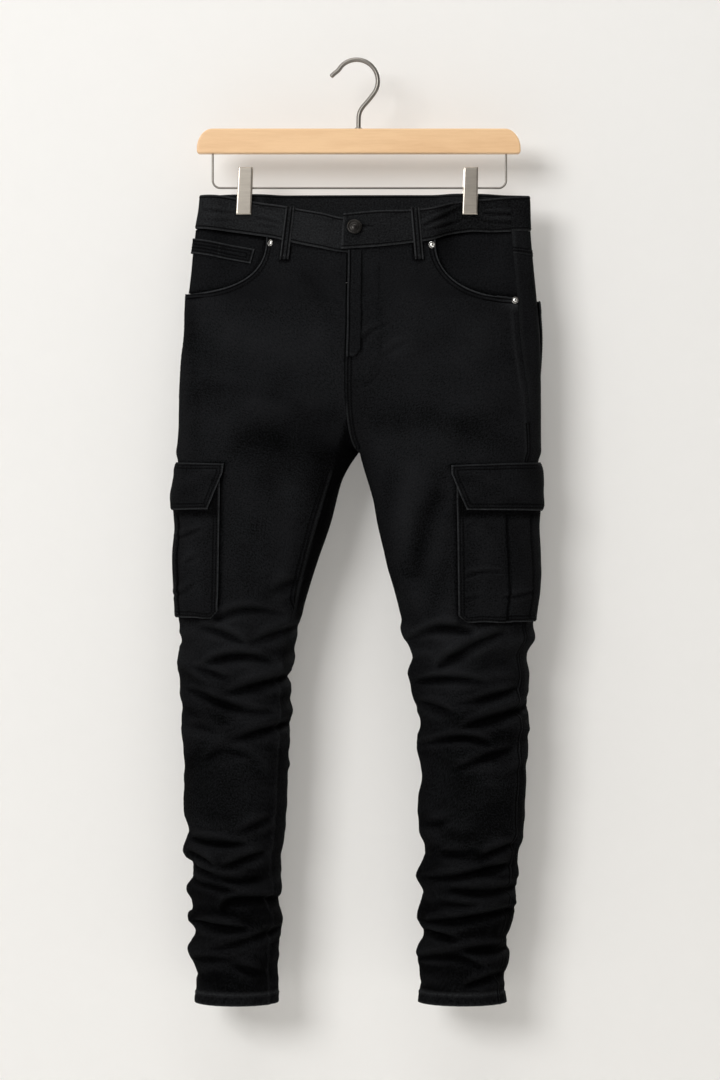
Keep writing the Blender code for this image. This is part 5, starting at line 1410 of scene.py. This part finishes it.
def make_cargo(side, look):
    distance, drop, pleat = cargo_grid(side, 80, (44, 20, 34))
    flat = around(side, distance, drop, LIFT + POCKET_THICK)
    wear, nearest, distances = edge_wear(flat, 1.6, 0.75, "lrb")
    folds = 0.9 * noise(distance / 30, drop / 38, 41) + 0.45 * noise(distance / 13, drop / 17, 43)
    folds = (folds + sharp_folds(CARGO_CREASES, flat[..., 0], drop)) * ease(nearest / 14)
    rise = pleat + folds - 1.0 * (1 - ease(nearest / 2.2))
    rise += puckers(distance, drop, nearest, distances["b"] <= nearest)
    below_flap = drop - CARGO[side]["flap_foot"]
    # Paler on the folds and darker between them, partly real fading and partly painted shade; painted shadow
    # under the flap.
    dye = 0.45 + 0.26 * np.tanh(folds / 2.0) - 0.6 * ease((14 - below_flap) / 13)
    open_pleat = ease((drop - PLEAT_FROM) / PLEAT_RUN)
    for line, way in zip(PLEAT, (-1, 1)):
        fold = bell((distance - line - 1.4 * way) / 1.4) * open_pleat
        rise -= 0.8 * fold
        # Painted shade in the pleat's folds.
        dye -= 0.9 * fold
    flip = faces_in(flat, 20, 20)
    make_piece(f"cargo_{side}", "cargo", flat, flip, look, 1.2, rise, wear, dye, nearest_of(distances, "lrb"),
               {"lrb": STITCH_ROWS})


def flap_grid(side, rows, columns):
    """Distance round the leg, drop and lift of each point of a flap."""
    cargo = CARGO[side]
    distance, drop, lift = (np.zeros((rows, columns)) for _ in range(3))
    for r, v in enumerate(np.linspace(0, 1, rows)):
        level = cargo["flap_top"] + (cargo["flap_foot"] - cargo["flap_top"]) * v
        slant = max(0.0, (v - FLAP_SEWN) / (1 - FLAP_SEWN))
        edge = cargo["flap_edge_top"] + (cargo["flap_edge_foot"] - cargo["flap_edge_top"]) * slant
        front = arc_at_x(side, edge, level)
        back = FLAP_TAPER * slant - FLAP_BEHIND - cargo["behind"]
        distance[r] = np.linspace(front, back, columns)
        drop[r] = level - FLAP_RISE * (front - distance[r]) * (1 - v)
        lift[r] = LIFT + (POCKET_THICK + FLAP_LIFT) * ease(v / FLAP_SEWN)
    return distance, drop, lift


def make_flap(side, look):
    distance, drop, lift = flap_grid(side, 40, 110)
    flat = around(side, distance, drop, lift + FLAP_THICK)
    wear, nearest, distances = edge_wear(flat, 1.7, 0.8, "lrb")
    wear = wear + 0.4 * bell((distances["t"] - 1.0) / 1.4)
    bumps = 0.8 * noise(distance / 26, drop / 14, 47) + 0.3 * noise(distance / 9, drop / 8, 48)
    rise = bumps * ease(nearest / 8) - 1.1 * (1 - ease(nearest / 2.4))
    rise += 0.9 * noise(distance / 40, drop * 0 + 0.5, 49) * ease(distances["t"] / 40)
    rise += puckers(distance, drop, nearest, nearest_of(distances, "tb") <= nearest)
    flip = faces_in(flat, 15, 20)
    # Paler on the bumps and darker between them: partly real fading, partly painted shade.
    make_piece(f"flap_{side}", "flap", flat, flip, look, 1.8, rise, wear, 0.45 + 0.16 * np.tanh(bumps),
               nearest, {"lrtb": STITCH_ROWS})


def make_back_pocket(side, look):
    pocket = BACK_POCKET
    u, v = np.meshgrid(np.linspace(0, 1, 72), np.linspace(0, 1, 62))
    middle = pocket["from_side"] + pocket["wide"] / 2
    distance = -(middle + (u - 0.5) * between((pocket["wide"], pocket["narrow"]), v))
    drop = pocket["top"] + v * (pocket["side"] + pocket["point"] * (1 - np.abs(2 * u - 1)))
    flat = around(side, distance, drop, LIFT + 0.3 + POCKET_THICK)
    wear, nearest, distances = edge_wear(flat, 1.8, 0.5)
    rise = 0.8 * noise(distance / 36, drop / 40, 53) * ease(nearest / 12)
    rise += 0.5 * ease((17 - distances["t"]) / 3) - 1.0 * (1 - ease(nearest / 2.2))
    flip = faces_in(flat, 30, 30, True)
    make_piece(f"back_pocket_{side}", "back_pocket", flat, flip, look, 1.2, rise, wear, 0.5, nearest,
               {"lrtb": STITCH_ROWS})


# ---------------------------------------------------------------- metal and wood

def ring_mesh(name, profile, steps, place, direction, look):
    """A turned piece from a profile of (radius, height), foot first."""
    turns = np.linspace(0, 2 * math.pi, steps, endpoint=False)
    points = [(r * math.cos(a), r * math.sin(a), h) for r, h in profile for a in turns]
    faces = []
    for k in range(len(profile) - 1):
        for i in range(steps):
            j = (i + 1) % steps
            faces.append((k * steps + i, k * steps + j, (k + 1) * steps + j, (k + 1) * steps + i))
    faces.append(tuple(range(steps))[::-1])
    faces.append(tuple((len(profile) - 1) * steps + i for i in range(steps)))
    turn = Vector(direction).to_track_quat("Z", "Y").to_matrix()
    placed = [(turn @ Vector(p) + Vector(place)) * MM for p in points]
    mesh = bpy.data.meshes.new(name)
    mesh.from_pydata(placed, [], faces)
    mesh.shade_smooth()
    mesh.set_sharp_from_angle(angle=math.radians(32))
    return dress(put(name, mesh), look)


def scaled(radius, height, *pairs):
    """A profile from pairs of a part of the radius and a rise over the height."""
    return [(radius * r, height + h) for r, h in pairs]


def make_button(look):
    """The shank button: rolled rim, sunk face with a raised plain ring and a small boss."""
    place, direction = front_place(BUTTON["x"], BUTTON["drop"])
    radius, top = BUTTON["radius"], BAND_OUT + 4.9
    profile = [(radius * 0.42, BAND_OUT + 0.3)]
    profile += scaled(radius, top, (0.45, -2.4), (0.88, -2.2), (0.97, -1.6), (1.0, -0.8), (0.985, -0.1),
                      (0.93, 0.4), (0.85, 0.5), (0.79, 0.25), (0.75, -0.25), (0.71, -0.45), (0.6, -0.4),
                      (0.56, -0.15), (0.5, -0.12), (0.46, -0.38), (0.3, -0.34), (0.24, -0.1), (0.12, 0.02))
    profile.append((0.05, top + 0.04))
    obj = ring_mesh("fine_button", profile, 64, place, direction, look)
    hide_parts("button")


def make_rivets(look):
    for number, (x, drop, seat) in enumerate(RIVETS[1], start=1):
        place, direction = front_place(x, drop)
        profile = scaled(RIVET_RADIUS, seat, (1.0, 0.05), (1.0, 0.45), (0.94, 0.8), (0.84, 0.95), (0.66, 0.9),
                         (0.56, 0.75), (0.5, 0.9), (0.4, 1.35), (0.25, 1.62), (0.1, 1.72))
        profile.append((0.03, seat + 1.73))
        obj = ring_mesh(f"fine_rivet_{number}", profile, 40, place, direction, look)
        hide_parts(f"rivet_{number}")


def wire_mesh(name, path, diameter, look, node, round_tip=False):
    """A round wire along a path in the hanger's plane."""
    curve = bpy.data.curves.new(name, "CURVE")
    curve.dimensions = "3D"
    curve.bevel_depth = diameter / 2 * MM
    curve.bevel_resolution = 6
    curve.use_fill_caps = True
    spline = curve.splines.new("POLY")
    spline.points.add(len(path) - 1)
    for point, (x, z) in zip(spline.points, path):
        point.co = (x * MM, 0, z * MM, 1)
    if round_tip:
        for i, share in enumerate((0.35, 0.72, 0.93)):
            spline.points[i].radius = share
    obj = put(name, curve)
    bpy.context.view_layer.objects.active = obj
    obj.select_set(True)
    bpy.ops.object.convert(target="MESH")
    obj.select_set(False)
    obj.data.materials.clear()
    obj.data.shade_smooth()
    obj.data.set_sharp_from_angle(angle=math.radians(50))
    dress(obj, look)
    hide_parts(node)


def make_hanger_wires(look):
    centre = HOOK_WIRE / 2 - HOOK_RADIUS
    arc = [(HOOK_RADIUS * math.cos(math.radians(a)), centre + HOOK_RADIUS * math.sin(math.radians(a)))
           for a in range(150, -31, -20)]
    neck = [(14.5, -45.6), (7.0, -54.5), (3.4, -61.5), (STEM_X, -70.0), (STEM_X, BAR_TOP - HOLE_DEEP + 1)]
    tip = [(-30.0, -17.0), (-26.5, -13.6)]
    path = smooth_path(tip + arc + neck, each=8)
    start, ahead = path[0], path[1] - path[0]
    ahead = ahead / np.linalg.norm(ahead)
    path = [start - ahead * k for k in (1.4, 1.1, 0.6)] + path
    wire_mesh("fine_hook", path, HOOK_WIRE, look, "hanger_hook", round_tip=True)
    low, high = WIRE_X
    bend = [(1 - math.cos(math.radians(a)), 1 - math.sin(math.radians(a))) for a in range(0, 91, 6)]
    left = [(low + WIRE_BEND * x, WIRE_FOOT + WIRE_BEND * y) for x, y in bend]
    right = [(high - WIRE_BEND * x, WIRE_FOOT + WIRE_BEND * y) for x, y in bend[::-1]]
    top = BAR_FOOT + HOLE_DEEP - 1
    wire_mesh("fine_wire", [(low, top)] + left + right + [(high, top)], WIRE, look, "hanger_wire")


def make_ferrule(look):
    """The collar in which the hook's stem turns, on top of the bar."""
    profile = [(4.6, 0.0), (4.6, 1.0), (4.2, 1.5), (3.3, 1.8), (2.9, 1.8)]
    ring_mesh("ferrule", profile, 36, (STEM_X, 0, BAR_TOP - 0.2), (0, 0, 1), look)


def make_bar(look):
    """The wooden bar with quarter-round shoulders and eased edges."""
    low, high = BAR_ENDS
    shoulder_x, shoulder_z, corner = 19.0, 24.0, 3.5
    quarter = [(math.sin(math.radians(a)), math.cos(math.radians(a))) for a in range(0, 91, 5)]
    outline = [(high + shoulder_x * (s - 1), BAR_TOP + shoulder_z * (c - 1)) for s, c in quarter]
    outline += [(high - corner + corner * c, BAR_FOOT + corner - corner * s) for s, c in quarter[::3]]
    middle = (low + high) / 2
    outline += [(2 * middle - x, z) for x, z in outline[::-1]]
    mesh = bmesh.new()
    face = mesh.faces.new([mesh.verts.new((x * MM, -BAR_THICK / 2 * MM, z * MM)) for x, z in outline])
    made = bmesh.ops.extrude_face_region(mesh, geom=[face])
    moved = [v for v in made["geom"] if isinstance(v, bmesh.types.BMVert)]
    bmesh.ops.translate(mesh, verts=moved, vec=(0, BAR_THICK * MM, 0))
    bmesh.ops.recalc_face_normals(mesh, faces=mesh.faces)
    data = bpy.data.meshes.new("fine_bar")
    mesh.to_mesh(data)
    mesh.free()
    data.shade_smooth()
    obj = dress(put("fine_bar", data), look)
    bevel = obj.modifiers.new("edges", "BEVEL")
    bevel.width = 2.2 * MM
    bevel.segments = 4
    bevel.limit_method = "ANGLE"
    bevel.angle_limit = math.radians(50)
    smooth = obj.modifiers.new("weights", "WEIGHTED_NORMAL")
    smooth.keep_sharp = False
    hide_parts("hanger_bar")


def make_clip(side, look):
    """Two pressed plates with bevelled edges, and the spring roll between them."""
    for face, way in (("front", -1), ("back", 1)):
        inset = np.array([0, 0.15, 0.6, 1.5, 2.1])
        sink = np.array([1.5, 0.9, 0.35, 0.0, 0.0])
        height = CLIP_TOP - CLIP_JAW
        rows = []
        for from_top in [*inset, *np.linspace(2.6, height - 2.6, 14), *(height - inset[::-1])]:
            z = CLIP_TOP - from_top
            middle = CLIP_X[side] + CLIP_TILT[side] * (z - WIRE_FOOT)
            half = (CLIP_WIDTH + CLIP_FLARE * from_top / height) / 2
            flat = np.linspace(2.6 - half, half - 2.6, 9)
            across = np.concatenate([inset - half, flat, half - inset[::-1]])
            from_edge = min(from_top, height - from_top)
            fall = np.interp(np.minimum(half - np.abs(across), from_edge), inset, sink)
            out = CLIP_GRIP + CLIP_SPLAY * (z - CLIP_JAW) + CLIP_PLATE + 0.3 - fall
            rows.append(np.stack([middle + across, way * out, np.full(len(across), z)], axis=-1))
        points = np.array(rows)
        flip = bool((grid_normals(points, False)[8, 8, 1] > 0) == (way < 0))
        normals = grid_normals(points, flip)
        obj = shell(f"fine_clip_{face}_{side}", points, normals, 1.0, look)
        obj.data.set_sharp_from_angle(angle=math.radians(24))
        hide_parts(f"clip_{face}_{side}")
    half = ROLL_LENGTH / 2
    profile = [(ROLL_RADIUS * 0.55, 0), (ROLL_RADIUS, 0.3)]
    coils = 7
    for k in range(coils):
        z = 0.3 + (ROLL_LENGTH - 0.6) * (k + 0.5) / coils
        profile += [(ROLL_RADIUS * 0.86, z - 0.7), (ROLL_RADIUS, z - 0.4), (ROLL_RADIUS, z + 0.4)]
    profile += [(ROLL_RADIUS, ROLL_LENGTH - 0.3), (ROLL_RADIUS * 0.55, ROLL_LENGTH)]
    place = (CLIP_X[side] - half, 0, WIRE_FOOT)
    obj = ring_mesh(f"fine_roll_{side}", profile, 32, place, (1, 0, 0), look)
    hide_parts(f"clip_roll_{side}")


# ---------------------------------------------------------------- stitches

STITCH = 2.5           # length of one, in millimetres
STITCH_PITCH = 3.3
STITCH_THICK = 0.62


def make_stitches(look):
    """Every row of stitches in one mesh: each is a small spindle that lies along its row."""
    middles, ways = [], []
    for path in SEWN:
        step = np.linalg.norm(np.diff(path, axis=0), axis=1)
        run = np.concatenate([[0], np.cumsum(step)])
        places = np.arange(STITCH_PITCH / 2, run[-1], STITCH_PITCH)
        for offset, group in ((0.0, middles), (STITCH / 2, ways)):
            group.append(np.stack([np.interp(places + offset, run, path[:, k]) for k in range(3)], axis=1))
    middle = np.concatenate(middles)
    way = np.concatenate(ways) - middle
    length = np.linalg.norm(way, axis=1, keepdims=True)
    way = np.where(length > 0.2, way / np.maximum(length, 1e-9), (0.0, 0.0, 1.0))
    up = np.cross(way, (0.31, 0.87, 0.38))
    up = up / np.linalg.norm(up, axis=1, keepdims=True)
    across = np.cross(way, up)
    corners = [middle - way * STITCH / 2]
    for end in (-0.6, 0.6):
        for turn in range(4):
            angle = math.pi / 2 * turn
            spoke = up * math.cos(angle) + across * math.sin(angle)
            corners.append(middle + way * end * STITCH / 2 + spoke * STITCH_THICK / 2)
    corners.append(middle + way * STITCH / 2)
    each = len(corners)
    points = np.stack(corners, axis=1).reshape(-1, 3) * MM
    ring = [(0, 1 + (k + 1) % 4, 1 + k) for k in range(4)]
    ring += [(1 + k, 1 + (k + 1) % 4, 5 + (k + 1) % 4, 5 + k) for k in range(4)]
    ring += [(5 + k, 5 + (k + 1) % 4, 9) for k in range(4)]
    faces = [tuple(i + each * n for i in face) for n in range(len(middle)) for face in ring]
    mesh = bpy.data.meshes.new("stitches")
    mesh.from_pydata(points.tolist(), [], faces)
    mesh.shade_smooth()
    dress(put("fine_stitches", mesh), look)


# ---------------------------------------------------------------- camera, light and backdrop

VIEW_FROM = (0.004, -3.5, -0.5736)
PHOTO_HEIGHT = 1.296   # metres that the picture shows, in the jeans' plane
WALL_Y = 0.078
FLOOR_Z = -1.55


def stage_plane(name, corners, look):
    mesh = bpy.data.meshes.new(name)
    mesh.from_pydata(corners, [], [tuple(range(len(corners)))])
    mesh.materials.append(look)
    put(name, mesh)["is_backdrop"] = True


def area_light(name, place, at, size, power, colour):
    data = bpy.data.lights.new(name, "AREA")
    data.shape = "RECTANGLE"
    data.size, data.size_y = size
    data.energy = power
    data.color = colour
    obj = put(name, data)
    obj.location = place
    obj.rotation_euler = (Vector(at) - Vector(place)).to_track_quat("-Z", "Y").to_euler()


def make_setting():
    camera_data = bpy.data.cameras.new("camera")
    camera_data.sensor_width = 36.0
    camera_data.lens = 36.0 * -VIEW_FROM[1] / PHOTO_HEIGHT
    camera_data.dof.use_dof = False
    camera = put("camera", camera_data)
    camera.location = VIEW_FROM
    camera.rotation_euler = (math.radians(90), 0, 0)
    bpy.context.scene.camera = camera
    wall = wall_look("wall_paint", (0.75, 0.745, 0.735), True)
    floor = wall_look("floor_paint", (0.68, 0.67, 0.65), False)
    foot = [(-4, WALL_Y, FLOOR_Z), (4, WALL_Y, FLOOR_Z)]
    stage_plane("wall", foot + [(4, WALL_Y, 2.2), (-4, WALL_Y, 2.2)], wall)
    stage_plane("floor", [(-4, -5, FLOOR_Z), (4, -5, FLOOR_Z)] + foot[::-1], floor)
    middle = (0, 0, -0.6)
    area_light("key", (-2.3, -4.3, 1.0), middle, (2.1, 1.5), 143, (1.0, 0.995, 0.985))
    area_light("top", (-0.4, -1.5, 2.8), middle, (2.8, 1.1), 50, (1.0, 1.0, 0.99))
    area_light("behind", (1.6, 3.0, 1.5), middle, (1.6, 1.2), 100, (1.0, 0.99, 0.97))
    world = bpy.data.worlds.new("room")
    world.use_nodes = True
    back = world.node_tree.nodes["Background"]
    back.inputs["Color"].default_value = (1.0, 0.955, 0.89, 1)
    back.inputs["Strength"].default_value = 0.14
    bpy.context.scene.world = world
    bpy.context.scene.view_settings.view_transform = "Standard"


def main():
    denim = denim_look("denim", (0.0003, 0.0003, 0.0004), (0.0142, 0.0150, 0.0164), (0.044, 0.046, 0.049))
    band = denim_look("denim_band", (0.0010, 0.0010, 0.0011), (0.0222, 0.0233, 0.0250),
                      (0.056, 0.058, 0.061))
    inner = denim_look("denim_facing", (0.0005, 0.0005, 0.0006), (0.0120, 0.0127, 0.0140),
                       (0.05, 0.052, 0.055))
    thread = thread_look()
    bronze = metal_look("bronze", (0.034, 0.032, 0.030), 0.34, 240.0)
    silver = metal_look("silver", (0.78, 0.77, 0.75), 0.22, 400.0)
    steel = metal_look("brushed_steel", (0.59, 0.54, 0.475), 0.34, 60.0, (1, 1, 14))
    dull = metal_look("dull_steel", (0.30, 0.28, 0.255), 0.4, 200.0)
    wood = wood_look()
    for side in ("right", "left"):
        for face in ("front", "back"):
            make_panel(side, face, denim)
        make_yoke(side, denim)
        make_facing(side, inner)
        make_band_front(side, band)
        make_front_loop(side, band)
        make_cargo(side, denim)
        make_flap(side, denim)
        make_back_pocket(side, denim)
        make_clip(side, steel)
    make_coin_pocket(inner)
    make_band_back(band)
    for name, middle in BACK_LOOPS.items():
        make_back_loop(name, middle, band)
    make_fly(denim)
    make_button(bronze)
    make_rivets(silver)
    make_hanger_wires(dull)
    make_ferrule(dull)
    make_bar(wood)
    make_stitches(thread)
    make_setting()
    [[list(map(float, c)) for c in box] for box in (CAD_BOX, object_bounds())]


main()
